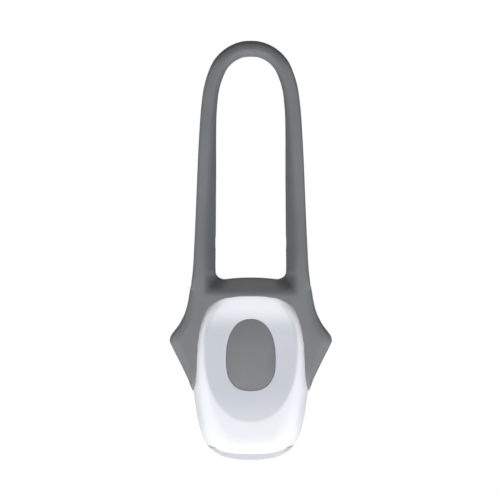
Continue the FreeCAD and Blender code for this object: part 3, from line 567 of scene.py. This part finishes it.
def make_button():
    edge, edge_out = egg(BUTTON_COUNT, BUTTON_HALF_WIDTH, BUTTON_WIDEST, BUTTON_TOP, BUTTON_FOOT,
                         BUTTON_POWER, BUTTON_FOOT_POWER)
    centre = np.array([0.0, 0.5 * (BUTTON_TOP + BUTTON_FOOT)])
    flange = edge + edge_out * BUTTON_FLANGE
    rim = DISH_DEPTH + BUTTON_PROUD
    rings = [(flange, BUTTON_FLANGE_BACK), (flange, BUTTON_FLANGE_FRONT),
             (edge, BUTTON_FLANGE_FRONT), (edge, rim - BUTTON_ROUND)]
    for index in range(1, ROUND_STEPS + 1):
        turn = 0.5 * math.pi * index / ROUND_STEPS
        rings.append((edge - edge_out * BUTTON_ROUND * (1 - math.cos(turn)),
                      rim - BUTTON_ROUND * (1 - math.sin(turn))))
    inner_edge = rings[-1][0]
    for index in range(1, DOME_STEPS + 1):
        share = index / DOME_STEPS
        rings.append((inner_edge + (centre - inner_edge) * share * BUTTON_LAST_RING,
                      rim + BUTTON_DOME * (1 - (1 - share) ** 2)))
    button = mesh_from_rings("push_button", rings, False)
    smooth(button, 50)
    return button


# Lens

def make_lens():
    spigot_width = LENS_HALF_WIDTH - SPIGOT_STEP - SPIGOT_GAP
    spigot_depth = LENS_HALF_DEPTH - SPIGOT_STEP - SPIGOT_GAP
    inner_width = spigot_width - SPIGOT_WALL
    inner_depth = spigot_depth - SPIGOT_WALL
    groove_width = LENS_HALF_WIDTH - LENS_GROOVE_DEPTH
    groove_depth = LENS_HALF_DEPTH - LENS_GROOVE_DEPTH
    rows = [(spigot_width, spigot_depth, SPIGOT_LENGTH), (spigot_width, spigot_depth, 0.0),
            (groove_width, groove_depth, 0.0), (groove_width, groove_depth, -LENS_GROOVE),
            (LENS_HALF_WIDTH - LENS_EDGE, LENS_HALF_DEPTH - LENS_EDGE, -LENS_GROOVE)]
    side = spline([Vector((share, drop, 0)) for share, drop in LENS_PROFILE], PROFILE_STEPS)
    rows += [(LENS_HALF_WIDTH * place.x, LENS_HALF_DEPTH * place.x, -LENS_GROOVE - LENS_DOME * place.y)
             for place in side]
    rows += [(inner_width * place.x, inner_depth * place.x, -(LENS_DOME - LENS_WALL) * place.y)
             for place in side[::-1]]
    rows.append((inner_width, inner_depth, SPIGOT_LENGTH))
    points = []
    for half_width, half_depth, level in rows:
        points += oval_ring(half_width, half_depth, level, LENS_COUNT)
    lens = mesh_object("clear_lens", points, ring_faces(len(rows), LENS_COUNT, True))
    smooth(lens, 45)
    return lens


# Silicone skin: the holder and the loop as one moulding

# Height, outer edge and inner edge of a leg, from inside the rib up to where the arch starts
LEG = [
    (42.5, 14.5, 10.2), (44.2, 14.6, 9.2), (46.0, 14.48, 8.75), (48.4, 14.28, 8.76), (52.0, 14.06, 8.68),
    (59.6, 13.72, 8.57), (67.0, 13.42, 8.54), (74.4, 13.12, 8.57), (80.0, 12.82, 8.58), (85.6, 12.46, 8.49),
    (89.3, 12.08, 8.2),
]
# Outer and inner edge of a shoulder, from the leg up to the arch: each across and its height
SHOULDER = [((11.81, 91.3), (8.02, 90.9)), ((11.42, 93.2), (7.72, 92.4)), ((10.88, 95.1), (7.25, 94.0))]
# Heights, and there the width of the roll along the loop's inner edge
INNER_ROLL_HEIGHTS = [46.0, 49.0, 53.0, 60.0, 75.0, 85.0, 92.0]
INNER_ROLL_WIDTHS = [3.2, 3.5, 3.9, 3.65, 2.6, 1.9, 1.4]
ROLL_SLOPE = 2.5
# Rounding of the legs' outer edge, and of the neck's: its width and its drop
OUTER_ROUND = (1.0, 1.3)
NECK_ROUND = (0.9, 3.4)
BACK_ROUND = 0.35
# Arch: a weaker roll along its inner edge, and a bevel over this share of its width
CROWN_ROLL = 1.7
CROWN_ROLL_SHARE = 0.5
CROWN_BEVEL_SHARE = 0.5
CROWN_BEVEL_SLOPE = math.tan(math.radians(27))
CROWN_BEVEL_SOFTNESS = 0.5
# Heights over which the legs' section turns into the arch's, and the neck's into the legs'
ARCH_FADE = (97.0, 102.5)
NECK_FADE = (45.5, 53.0)


def rolled(run, width):
    """How far a face falls away, by the distance past the start of a roll along its edge."""
    run = np.maximum(run, 0.0)
    return np.where(run < width, ROLL_SLOPE * run ** 2 / (2 * width), ROLL_SLOPE * (run - width / 2))


def loop_path():
    """The loop's outer and inner edge, from low on the right rib, over the arch, to the left."""
    side = [(outer, height, inner, height) for height, outer, inner in LEG]
    side += [(*outer, *inner) for outer, inner in SHOULDER]
    rows = [(Vector((outer, 0, outer_height)), Vector((inner, 0, inner_height)))
            for outer, outer_height, inner, inner_height in side]
    for index in range(ARCH_STEPS + 1):
        turn = math.radians(ARCH_START + ARCH_SWEEP * index / ARCH_STEPS)
        direction = Vector((math.cos(turn), 0, math.sin(turn)))
        top = Vector((0, 0, ARCH_HEIGHT))
        rows.append((top + direction * ARCH_OUTER, top + direction * ARCH_INNER))
    rows += [(Vector((-outer, 0, outer_height)), Vector((-inner, 0, inner_height)))
             for outer, outer_height, inner, inner_height in side[::-1]]
    return rows


def band_section(width, height):
    """The loop's section at a height: how far in from its outer edge, and depth.

    On the legs the front is flat and rolls in towards the inner edge; over the arch its outer part is
    bevelled instead.
    """
    arch = float(ease(height, *ARCH_FADE))
    neck = 1 - float(ease(height, *NECK_FADE))
    front = float(np.interp(height, STRAP_HEIGHTS, STRAP_FRONTS))
    roll_width = float(np.interp(height, INNER_ROLL_HEIGHTS, INNER_ROLL_WIDTHS))
    outer_width = OUTER_ROUND[0] + neck * (NECK_ROUND[0] - OUTER_ROUND[0])
    outer_drop = OUTER_ROUND[1] + neck * (NECK_ROUND[1] - OUTER_ROUND[1])
    bevel_width = CROWN_BEVEL_SHARE * width
    profile = []
    for index in range(FRONT_STEPS + 1):
        inward = 0.5 * width * (1 - math.cos(math.pi * index / FRONT_STEPS))
        outer = 1 - min(inward / outer_width, 1.0)
        drop = outer_drop * (1 - math.sqrt(1 - outer ** 2))
        left = bevel_width - inward
        drop += arch * CROWN_BEVEL_SLOPE * 0.5 * (left + math.hypot(left, CROWN_BEVEL_SOFTNESS))
        drop += (1 - arch) * float(rolled(inward - (width - roll_width), roll_width))
        drop += arch * CROWN_ROLL_SHARE * float(rolled(inward - (width - CROWN_ROLL), CROWN_ROLL))
        profile.append((inward, front - drop))
    for corner, start in ((width - BACK_ROUND, 0.0), (BACK_ROUND, 0.5)):
        for index in range(BACK_STEPS + 1):
            turn = math.pi * (start + 0.5 * index / BACK_STEPS)
            profile.append((corner + BACK_ROUND * math.cos(turn),
                            STRAP_BACK + BACK_ROUND * (1 - math.sin(turn))))
    return profile


def make_loop_blank():
    rows = loop_path()
    outers = spline([row[0] for row in rows], LOOP_STEPS)
    inners = spline([row[1] for row in rows], LOOP_STEPS)
    points = []
    for outer, inner in zip(outers, inners):
        inward = (inner - outer).normalized()
        section = band_section((inner - outer).length, outer.z)
        for distance, depth in section:
            place = outer + inward * distance
            points.append(spot(place.x, depth, place.z))
    return mesh_object("loop_blank", points, capped_faces(len(outers), len(section)))


# Web between the legs: its top edge is arched and rounds up into the legs
WEB_TOP = 45.33
WEB_SAG = 0.0105
COVE_RADIUS = 2.4
COVE_EDGE = 8.87
COVE_START = COVE_EDGE - COVE_RADIUS
COVE_MARGIN = 0.3
WEB_REACH = 12.4
WEB_FOOT = 38.3
WEB_BACK = 7.4
WEB_CORNER = 47.4
WEB_COLUMNS = 125
WEB_ROWS = 28
WALL_START = 12.0
WALL_WIDTH = 1.9
# Distances from the middle, and there the depth of the web's brow over the housing
BROW_ACROSS = [5.0, 6.0, 7.0, 8.0, 9.0, 10.0, 11.0]
BROW_FRONTS = [14.44, 14.38, 14.24, 13.88, 13.3, 12.87, 12.8]
# Heights, and there how far the web's front has fallen back behind its brow
FALL_HEIGHTS = [41.1, 41.8, 43.0, 45.4, 48.0]
FALLS = [0.0, 0.32, 1.1, 2.7, 4.3]
# How much further it falls back towards the corners beside the legs, and where that sets in and holds
DIP = 2.7
DIP_ACROSS = (5.2, 9.4)
DIP_HEIGHTS = (42.3, 46.2)
# How far the web's top corners sink into the legs, and over which heights
WEB_SINK = 1.5
WEB_SINK_HEIGHTS = (45.2, 47.2)


def opening_floor(across):
    """Height of the opening's lower edge."""
    out = np.abs(across)
    arched = WEB_TOP - WEB_SAG * np.minimum(out, COVE_START) ** 2
    run = np.clip(out - COVE_START, 0, COVE_RADIUS)
    return arched + COVE_RADIUS - np.sqrt(COVE_RADIUS ** 2 - run ** 2)


def web_front(across, height):
    """Depth of the web's front: it slopes in above the housing, deepest beside the legs."""
    out = np.abs(across)
    brow = np.interp(out, BROW_ACROSS, BROW_FRONTS)
    fall = np.interp(height, FALL_HEIGHTS, FALLS)
    dip = DIP * ease(out, *DIP_ACROSS) * ease(height, *DIP_HEIGHTS)
    return brow - least(fall + dip, rolled(WALL_START - out, WALL_WIDTH))


def make_web_blank():
    columns = np.linspace(-WEB_REACH, WEB_REACH, WEB_COLUMNS)
    beside = np.abs(columns) > COVE_EDGE + COVE_MARGIN
    tops = np.where(beside, WEB_CORNER, opening_floor(columns))
    front = []
    back = []
    for row in range(WEB_ROWS):
        heights = WEB_FOOT + (tops - WEB_FOOT) * row / (WEB_ROWS - 1)
        depths = web_front(columns, heights) - WEB_SINK * ease(heights, *WEB_SINK_HEIGHTS)
        front += [spot(x, d, z) for x, d, z in zip(columns, depths, heights)]
        back += [spot(x, WEB_BACK, z) for x, z in zip(columns, heights)]
    size = WEB_COLUMNS * WEB_ROWS
    faces = []
    for row in range(WEB_ROWS - 1):
        for column in range(WEB_COLUMNS - 1):
            first = row * WEB_COLUMNS + column
            quad = (first, first + 1, first + 1 + WEB_COLUMNS, first + WEB_COLUMNS)
            faces += [quad, tuple(size + corner for corner in quad[::-1])]
    border = list(range(WEB_COLUMNS))
    border += [row * WEB_COLUMNS + WEB_COLUMNS - 1 for row in range(1, WEB_ROWS)]
    border += list(range(size - 2, size - WEB_COLUMNS - 1, -1))
    border += [row * WEB_COLUMNS for row in range(WEB_ROWS - 2, 0, -1)]
    for here, after in zip(border, border[1:] + border[:1]):
        faces.append((here, size + here, size + after, after))
    return mesh_object("web_blank", front + back, faces)


# Lip under the ear: heights, and there the depth of its front
LIP_HEIGHTS = [17.2, 17.8, 18.4, 19.2, 20.2, 21.5, 23.0, 25.0, 27.5]
LIP_FRONTS = [7.2, 8.5, 10.0, 11.3, 12.1, 12.55, 12.75, 12.78, 12.78]
LIP_INNER = 12.3
LIP_BACK = 6.5
# Keeps the corners of the lip's lowest section apart
LIP_APART = 0.001
# Ear's outer edge at its foot, on its side and on its front, and how far each leans out by height
EAR_FOOT = 17.4
EAR_SIDE_EDGE = 14.45
EAR_SIDE_LEAN = 0.430
EAR_FRONT_EDGE = 13.75
EAR_FRONT_LEAN = 0.248
EAR_SIDE_DEPTH = 9.0


def make_lip_blank(side):
    """Fills the ear's front below its widest point, down to the rounded end of its lip."""
    points = []
    for height, front in zip(LIP_HEIGHTS, LIP_FRONTS):
        outer = EAR_SIDE_EDGE + EAR_SIDE_LEAN * (height - EAR_FOOT)
        outer_front = EAR_FRONT_EDGE + EAR_FRONT_LEAN * (height - EAR_FOOT)
        share = max(0.0, (front - EAR_SIDE_DEPTH) / (RIB_FRONT - EAR_SIDE_DEPTH))
        section = [(LIP_INNER, LIP_BACK), (outer, LIP_BACK), (outer, min(front, EAR_SIDE_DEPTH)),
                   (outer + share * (outer_front - outer), front + LIP_APART),
                   (LIP_INNER, front + LIP_APART)]
        points += [spot(side * across, depth, height) for across, depth in section]
    return mesh_object("lip_blank", points, capped_faces(len(LIP_HEIGHTS), len(section)))


# Heights, and there how much fuller the moulding's outline is than the plain solid's
FULLER_HEIGHTS = [18.0, 20.0, 24.0, 28.0, 29.0, 30.5, 32.0, 33.5, 36.0, 38.0, 41.0, 43.0, 44.0, 45.5]
FULLER_BY = [0.0, -0.20, 0.0, 0.32, 0.33, 0.05, 0.12, -0.08, -0.13, 0.0, 0.24, 0.24, 0.10, 0.0]
FULLER_ACROSS = (12.5, 15.0)
# Heights where the opening's lower edge is shaped, and where the limit on the web's front fades out
OPENING_HEIGHTS = (43.0, 47.5)
OPENING_SOFTNESS = 0.1
WEB_LIMIT_FADE = (45.4, 47.4)
# Share of their drop that the holder's outer facets lose, and where this sets in and ends
FLATTER = 0.7
FLATTER_ACROSS = (12.4, 14.2)
FLATTER_FADE = (44.0, 48.0)
FLATTER_DROPS = (2.5, 6.0)
# Remeshing and smoothing of the whole skin, and then smoothing of the holder's front alone
SKIN_VOXEL = 0.28
MIRROR_MERGE = 0.05
SOFTEN_FACTOR = 0.5
SKIN_PASSES = 7
SOFT_PASSES = 20
SOFT_FADE = (40.0, 46.0)
SOFT_ACROSS = (13.4, 15.0)
# Holder's lower sides: how far they draw in, where, and how near to the rear shell
TUCK = 0.6
TUCK_HEIGHTS = (13.2, 14.6, 17.4, 19.4)
TUCK_DEPTHS = (0.0, 0.8, 4.0, 5.5)
TUCK_ACROSS = (8.0, 9.0)
TUCK_OVER = (0.1, 0.9)
HOLLOW_STEPS = 16


def shape_skin(mesh):
    """Gives the moulding its fuller outline, and the web its gently arched top edge."""
    across, depth, height = points_of(mesh)
    fuller = np.interp(height, FULLER_HEIGHTS, FULLER_BY)
    across = across + np.sign(across) * fuller * ease(np.abs(across), *FULLER_ACROSS)
    inside = np.abs(across) < COVE_EDGE - COVE_MARGIN
    near = inside & (height > OPENING_HEIGHTS[0]) & (height < OPENING_HEIGHTS[1])
    height = np.where(near, soft_min(height, opening_floor(across), OPENING_SOFTNESS), height)
    beside = (np.abs(across) < WALL_START) & (height > FALL_HEIGHTS[0])
    over = np.maximum(depth - web_front(across, height), 0.0)
    depth = depth - np.where(beside, over * (1 - ease(height, *WEB_LIMIT_FADE)), 0.0)
    drop = RIB_FRONT - depth
    outer = ease(np.abs(across), *FLATTER_ACROSS) * (1 - ease(height, *FLATTER_FADE))
    depth = RIB_FRONT - drop * (1 - outer * FLATTER * (1 - ease(drop, *FLATTER_DROPS)))
    put_points(mesh, across, depth, height)


def soften_where(skin, share, depth_only):
    """Smooths the skin where the share says so, in all directions or in depth alone."""
    group = skin.vertex_groups.new(name="soft")
    for index, weight in enumerate(share):
        group.add([index], float(weight), "REPLACE")
    soften = skin.modifiers.new("soften_part", "SMOOTH")
    soften.use_x = not depth_only
    soften.use_z = not depth_only
    soften.factor = SOFTEN_FACTOR
    soften.iterations = SOFT_PASSES
    soften.vertex_group = "soft"
    apply_modifiers(skin)
    skin.vertex_groups.clear()


def soften_holder(skin):
    """Softens the creases of the holder's front without moving its outline."""
    across, _, height = points_of(skin.data)
    soften_where(skin, (1 - ease(height, *SOFT_FADE)) * ease(np.abs(across), *SOFT_ACROSS), True)


def tuck_foot(skin):
    """Draws the holder's lower sides in where they would only skim the rear shell."""
    across, depth, height = points_of(skin.data)
    share = ease(height, *TUCK_HEIGHTS[:2]) * (1 - ease(height, *TUCK_HEIGHTS[2:]))
    share = share * ease(depth, *TUCK_DEPTHS[:2]) * (1 - ease(depth, *TUCK_DEPTHS[2:]))
    soften_where(skin, share * ease(np.abs(across), *TUCK_ACROSS), False)
    across, depth, height = points_of(skin.data)
    lower = housing_edge[(housing_edge[:, 0] > 0) & (housing_edge[:, 1] < HOUSING_WIDEST)]
    lower = lower[np.argsort(lower[:, 1])]
    rear = side_profile(REAR_STEPS, REAR_INSET, REAR_POWER, SEAM_DEPTH, 0.0)[::-1]
    inset = np.interp(depth, [row[1] for row in rear], [row[0] for row in rear])
    over = np.abs(across) - np.interp(height, lower[:, 1], lower[:, 0]) + inset
    drawn_in = TUCK * share * (1 - ease(over, *TUCK_OVER))
    put_points(skin.data, across - np.sign(across) * drawn_in, depth, height)


def housing_solid(gap):
    """The housing's outside as one closed block, to cut the moulding's hollow with."""
    rear = side_profile(HOLLOW_STEPS, REAR_INSET, REAR_POWER, SEAM_DEPTH, 0.0)[::-1]
    rings = [(housing_edge - housing_out * (inset - gap), depth) for inset, depth in rear]
    rings += front_rings(gap)
    rings[0] = (rings[0][0], -gap)
    rings[-1] = (rings[-1][0], CROWN_DEPTH + gap)
    return mesh_from_rings("housing_solid", rings, False)


def make_skin():
    """The holder's solid and the blanks as one soft skin, hollowed for the housing."""
    skin = new_object("silicone_skin", NODES["silicone_holder"].data.copy())
    skin.data.materials.clear()
    work = bmesh.new()
    work.from_mesh(skin.data)
    for blank in (make_loop_blank(), make_web_blank(), make_lip_blank(-1), make_lip_blank(1)):
        work.from_mesh(blank.data)
        bpy.data.objects.remove(blank)
    work.to_mesh(skin.data)
    work.free()
    remesh = skin.modifiers.new("remesh", "REMESH")
    remesh.mode = "VOXEL"
    remesh.voxel_size = SKIN_VOXEL * MM
    mirror = skin.modifiers.new("mirror", "MIRROR")
    mirror.use_bisect_axis[0] = True
    mirror.merge_threshold = MIRROR_MERGE * MM
    apply_modifiers(skin)
    shape_skin(skin.data)
    soften = skin.modifiers.new("soften", "SMOOTH")
    soften.factor = SOFTEN_FACTOR
    soften.iterations = SKIN_PASSES
    apply_modifiers(skin)
    soften_holder(skin)
    tuck_foot(skin)
    cut_away(skin, housing_solid(SPIGOT_GAP / 2))
    smooth(skin, 60)
    return skin


# Materials

COLOR_DETAIL = 3.0
GRAIN_DETAIL = 5.0
RAMP_POSITIONS = (0.35, 0.65)


def material(name, color, roughness, sockets=()):
    made = bpy.data.materials.new(name)
    made.use_nodes = True
    tree = made.node_tree
    shader = tree.nodes["Principled BSDF"]
    shader.inputs["Base Color"].default_value = (*color, 1)
    shader.inputs["Roughness"].default_value = roughness
    for socket, value in sockets:
        shader.inputs[socket].default_value = value
    return made, tree, shader


def noise(tree, scale, detail=COLOR_DETAIL):
    place = tree.nodes.new("ShaderNodeTexCoord")
    texture = tree.nodes.new("ShaderNodeTexNoise")
    texture.inputs["Scale"].default_value = scale
    texture.inputs["Detail"].default_value = detail
    tree.links.new(place.outputs["Object"], texture.inputs["Vector"])
    return texture


def varied_color(tree, texture, dark, light):
    ramp = tree.nodes.new("ShaderNodeValToRGB")
    for stop, color, position in zip(ramp.color_ramp.elements, (dark, light), RAMP_POSITIONS):
        stop.color = (*color, 1)
        stop.position = position
    tree.links.new(texture.outputs["Fac"], ramp.inputs["Fac"])
    return ramp.outputs["Color"]


def varied_number(tree, source, low, high):
    spread = tree.nodes.new("ShaderNodeMapRange")
    spread.inputs["To Min"].default_value = low
    spread.inputs["To Max"].default_value = high
    tree.links.new(source, spread.inputs["Value"])
    return spread.outputs["Result"]


def add_bump(tree, shader, texture, strength, distance):
    bump = tree.nodes.new("ShaderNodeBump")
    bump.inputs["Strength"].default_value = strength
    bump.inputs["Distance"].default_value = distance * MM
    tree.links.new(texture.outputs["Fac"], bump.inputs["Height"])
    tree.links.new(bump.outputs["Normal"], shader.inputs["Normal"])


def textured(name, dark, light, roughness, rough_spread,
             scale, grain_scale, grain, grain_depth, sockets=()):
    """A material with slow colour variation and a fine grain, whose depth is in millimetres."""
    made, tree, shader = material(name, light, roughness, sockets)
    color = varied_color(tree, noise(tree, scale), dark, light)
    tree.links.new(color, shader.inputs["Base Color"])
    rough = varied_number(tree, noise(tree, 3 * scale).outputs["Fac"],
                          roughness - rough_spread, roughness + rough_spread)
    tree.links.new(rough, shader.inputs["Roughness"])
    add_bump(tree, shader, noise(tree, grain_scale, GRAIN_DETAIL), grain, grain_depth)
    return made


WHITE_SOCKETS = [("Subsurface Weight", 0.35), ("Subsurface Scale", 0.0015),
                 ("Subsurface Radius", (1.0, 1.0, 1.0)), ("IOR", 1.49), ("Specular IOR Level", 0.12)]
WHITE_DARK = (0.835, 0.855, 0.905)
WHITE_LIGHT = (0.865, 0.885, 0.935)
# Greyer colour of the dish's face: painted shade
PAINTED_DISH_SHADE_DARK = (0.605, 0.63, 0.68)
PAINTED_DISH_SHADE_LIGHT = (0.63, 0.655, 0.705)
WHITE_ROUGHNESS = 0.3
SATIN_ROUGHNESS = 0.42
WHITE_SCALE = 60
WHITE_GRAIN_SCALE = 700
WHITE_GRAIN = 0.06
WHITE_GRAIN_DEPTH = 0.01


def front_plastic():
    """White gloss plastic whose dish has a satin face, greyed with painted shade."""
    made, tree, shader = material("white_front_plastic", WHITE_LIGHT, WHITE_ROUGHNESS, WHITE_SOCKETS)
    texture = noise(tree, WHITE_SCALE)
    mark = tree.nodes.new("ShaderNodeAttribute")
    mark.attribute_type = "GEOMETRY"
    mark.attribute_name = "satin_and_painted_shade"
    mix = tree.nodes.new("ShaderNodeMix")
    mix.data_type = "RGBA"
    color_inputs = [socket for socket in mix.inputs if socket.type == "RGBA"]
    color_output = next(socket for socket in mix.outputs if socket.type == "RGBA")
    tree.links.new(mark.outputs["Fac"], mix.inputs[0])
    tree.links.new(varied_color(tree, texture, WHITE_DARK, WHITE_LIGHT), color_inputs[0])
    # Dish colour: the white greyed into painted shade where the mark says so
    tree.links.new(varied_color(tree, texture, PAINTED_DISH_SHADE_DARK, PAINTED_DISH_SHADE_LIGHT), color_inputs[1])
    tree.links.new(color_output, shader.inputs["Base Color"])
    rough = varied_number(tree, mark.outputs["Fac"], WHITE_ROUGHNESS, SATIN_ROUGHNESS)
    tree.links.new(rough, shader.inputs["Roughness"])
    grain = noise(tree, WHITE_GRAIN_SCALE, GRAIN_DETAIL)
    add_bump(tree, shader, grain, WHITE_GRAIN, WHITE_GRAIN_DEPTH)
    return made


silicone = textured("grey_silicone", (0.205, 0.212, 0.221), (0.221, 0.229, 0.238), 0.55, 0.05,
                    120, 4500, 0.25, 0.02, [("Specular IOR Level", 0.06)])
white_plastic = textured("white_gloss_plastic", WHITE_DARK, WHITE_LIGHT, WHITE_ROUGHNESS, 0.03,
                         WHITE_SCALE, WHITE_GRAIN_SCALE, WHITE_GRAIN, WHITE_GRAIN_DEPTH, WHITE_SOCKETS)
white_front = front_plastic()
clear_plastic = textured("clear_plastic", (0.72, 0.73, 0.78), (0.75, 0.76, 0.81), 0.3, 0.04,
                         200, 900, 0.02, 0.01, [("Transmission Weight", 0.5), ("IOR", 1.49)])
black_plastic = textured("black_plastic", (0.025, 0.025, 0.028), (0.04, 0.04, 0.044), 0.5, 0.08,
                         300, 2500, 0.3, 0.02)
steel = textured("stamped_steel", (0.50, 0.50, 0.51), (0.62, 0.62, 0.63), 0.3, 0.08,
                 250, 2500, 0.15, 0.01, [("Metallic", 1.0)])
contact_metal = textured("plated_contact", (0.62, 0.48, 0.24), (0.74, 0.60, 0.34), 0.32, 0.08,
                         250, 2500, 0.15, 0.01, [("Metallic", 1.0)])
mirror_metal = textured("reflector_metal", (0.80, 0.80, 0.82), (0.88, 0.88, 0.90), 0.12, 0.04,
                        250, 1500, 0.05, 0.01, [("Metallic", 1.0)])
board_green = textured("board_lacquer", (0.012, 0.10, 0.045), (0.02, 0.16, 0.07), 0.35, 0.08,
                       400, 1800, 0.2, 0.02)
seal_rubber = textured("pale_seal_rubber", (0.62, 0.63, 0.65), (0.68, 0.69, 0.71), 0.55, 0.06,
                       300, 2500, 0.3, 0.02, [("Subsurface Weight", 0.4), ("Subsurface Scale", 0.002)])
lamp_resin = textured("lamp_resin", (0.90, 0.90, 0.85), (0.96, 0.96, 0.92), 0.08, 0.03,
                      200, 1500, 0.04, 0.01, [("Transmission Weight", 0.85), ("IOR", 1.5)])
fired_ceramic = textured("fired_ceramic", (0.36, 0.28, 0.18), (0.48, 0.38, 0.27), 0.6, 0.06,
                         400, 2500, 0.3, 0.02)

SLOT_LOOKS = {
    "silicone": silicone, "white_housing": white_plastic, "clear_lens": clear_plastic,
    "seal": seal_rubber, "reflector": mirror_metal, "black_plastic": black_plastic, "steel": steel,
    "spring_metal": contact_metal, "board": board_green, "lamp": lamp_resin, "ceramic": fired_ceramic,
}


def dress(made, look):
    made.data.materials.clear()
    made.data.materials.append(look)


for part in frame["record"]["subparts"]:
    node = NODES[part["node"]]
    look = SLOT_LOOKS[part["material_slot"]]
    if node.material_slots:
        for slot in node.material_slots:
            slot.material = look
    else:
        node.data.materials.append(look)


# Pieces of the looks

skin = make_skin()
dress(skin, silicone)
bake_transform(skin)
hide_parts("silicone_holder", "strap_loop")

front_housing = make_front_shell()
dress(front_housing, white_front)
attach(front_housing, "light")
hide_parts("front_shell")

rear_housing = make_rear_shell()
dress(rear_housing, white_plastic)
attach(rear_housing, "light")
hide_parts("rear_shell")

push_button = make_button()
dress(push_button, silicone)
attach(push_button, "button")
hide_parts("button_pad")

clear_lens = make_lens()
dress(clear_lens, clear_plastic)
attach(clear_lens, "light")
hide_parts("lens")


# Floor and studio

# Millimetres from the lens down to the floor, so that it doesn't hide the light in views from below
FLOOR_DROP = 900.0
FLOOR_REACH = 5.0
FLOOR_COLOR = 0.30
FLOOR_GLOW = 0.86
WORLD_LIGHT = 0.08


def seen_directly(tree):
    """1 for what the camera, gloss or glass sees, and 0 for what light bounces off."""
    path = tree.nodes.new("ShaderNodeLightPath")
    found = path.outputs["Is Camera Ray"]
    for ray in ("Is Glossy Ray", "Is Transmission Ray"):
        either = tree.nodes.new("ShaderNodeMath")
        either.operation = "MAXIMUM"
        tree.links.new(found, either.inputs[0])
        tree.links.new(path.outputs[ray], either.inputs[1])
        found = either.outputs[0]
    return found


floor_z = FOOT_Z - FLOOR_DROP * MM
floor_mesh = bpy.data.meshes.new("floor")
floor_mesh.from_pydata([(-FLOOR_REACH, -FLOOR_REACH, floor_z), (FLOOR_REACH, -FLOOR_REACH, floor_z),
                        (FLOOR_REACH, FLOOR_REACH, floor_z), (-FLOOR_REACH, FLOOR_REACH, floor_z)],
                       [], [(0, 1, 2, 3)])
floor = new_object("floor", floor_mesh)
floor_look, floor_tree, floor_shader = material("pale_floor", (FLOOR_COLOR, FLOOR_COLOR, FLOOR_COLOR), 1.0,
                                                [("Specular IOR Level", 0.0)])
glow = floor_tree.nodes.new("ShaderNodeEmission")
floor_tree.links.new(varied_number(floor_tree, seen_directly(floor_tree), 0.0, FLOOR_GLOW),
                     glow.inputs["Strength"])
both = floor_tree.nodes.new("ShaderNodeAddShader")
floor_tree.links.new(floor_shader.outputs["BSDF"], both.inputs[0])
floor_tree.links.new(glow.outputs["Emission"], both.inputs[1])
floor_tree.links.new(both.outputs["Shader"], floor_tree.nodes["Material Output"].inputs["Surface"])
floor.data.materials.append(floor_look)

world = bpy.data.worlds.new("studio")
world.use_nodes = True
scene.world = world
sky = world.node_tree.nodes["Background"]
sky.inputs["Color"].default_value = (1, 1, 1, 1)
world.node_tree.links.new(varied_number(world.node_tree, seen_directly(world.node_tree), WORLD_LIGHT, 1.0),
                          sky.inputs["Strength"])

# Lights, by their bearing from the front

middle = Vector((0, spot(0, NECK_DEPTH, 0).y, 0.5 * (cad_box[0][2] + cad_box[1][2])))


def bearing_of(azimuth, elevation):
    turn = math.radians(azimuth)
    rise = math.radians(elevation)
    return Vector((math.sin(turn) * math.cos(rise), -math.cos(turn) * math.cos(rise), math.sin(rise)))


def place_light(name, lamp, azimuth, elevation, distance):
    direction = bearing_of(azimuth, elevation)
    made = bpy.data.objects.new(name, lamp)
    made.location = middle + direction * distance
    made.rotation_euler = direction.to_track_quat("Z", "Y").to_euler()
    made.visible_camera = False
    scene.collection.objects.link(made)
    return made


def far_light(name, azimuth, elevation, strength, spread):
    """Light from one side that is even all over the object; strength 1 lights a white face fully."""
    lamp = bpy.data.lights.new(name, "SUN")
    lamp.energy = math.pi * strength
    lamp.angle = math.radians(spread)
    place_light(name, lamp, azimuth, elevation, 1.0).visible_glossy = False


def near_light(name, azimuth, elevation, distance, width, strength, glossy=False):
    """A square soft light; strength 1 lights a white face at the middle of the object fully."""
    lamp = bpy.data.lights.new(name, "AREA")
    lamp.shape = "SQUARE"
    lamp.size = width
    lamp.energy = math.pi ** 2 * distance ** 2 * strength
    place_light(name, lamp, azimuth, elevation, distance).visible_glossy = glossy


near_light("low_key", 0, -37, distance=0.42, width=0.34, strength=1.16, glossy=True)
near_light("left_low", -90, -38, distance=0.40, width=0.06, strength=0.29)
near_light("right_low", 90, -38, distance=0.40, width=0.06, strength=0.29)
far_light("overhead", 0, 75, strength=0.08, spread=20)
far_light("left_back", -155, 25, strength=0.40, spread=20)
far_light("right_back", 155, 25, strength=0.40, spread=20)

# Camera, level with the middle of the photograph
PHOTO_SIDE = 500.0
PIXELS_PER_MM = 4.038
PHOTO_MIDDLE_ACROSS = 250.8
PHOTO_FOOT = 460.5
CAMERA_DISTANCE = 600.0
SENSOR = 36.0
camera_data = bpy.data.cameras.new("camera")
camera_data.sensor_width = SENSOR
camera_data.lens = SENSOR * CAMERA_DISTANCE * PIXELS_PER_MM / PHOTO_SIDE
camera_data.clip_start = 0.01
camera_data.clip_end = 20
camera = bpy.data.objects.new("camera", camera_data)
aim_across = (PHOTO_SIDE / 2 - PHOTO_MIDDLE_ACROSS) / PIXELS_PER_MM
aim_height = (PHOTO_FOOT - PHOTO_SIDE / 2) / PIXELS_PER_MM
camera.location = spot(aim_across, NECK_DEPTH + CAMERA_DISTANCE, aim_height)
camera.rotation_euler = (math.radians(90), 0, 0)
scene.collection.objects.link(camera)
scene.camera = camera
scene.view_settings.view_transform = "Standard"
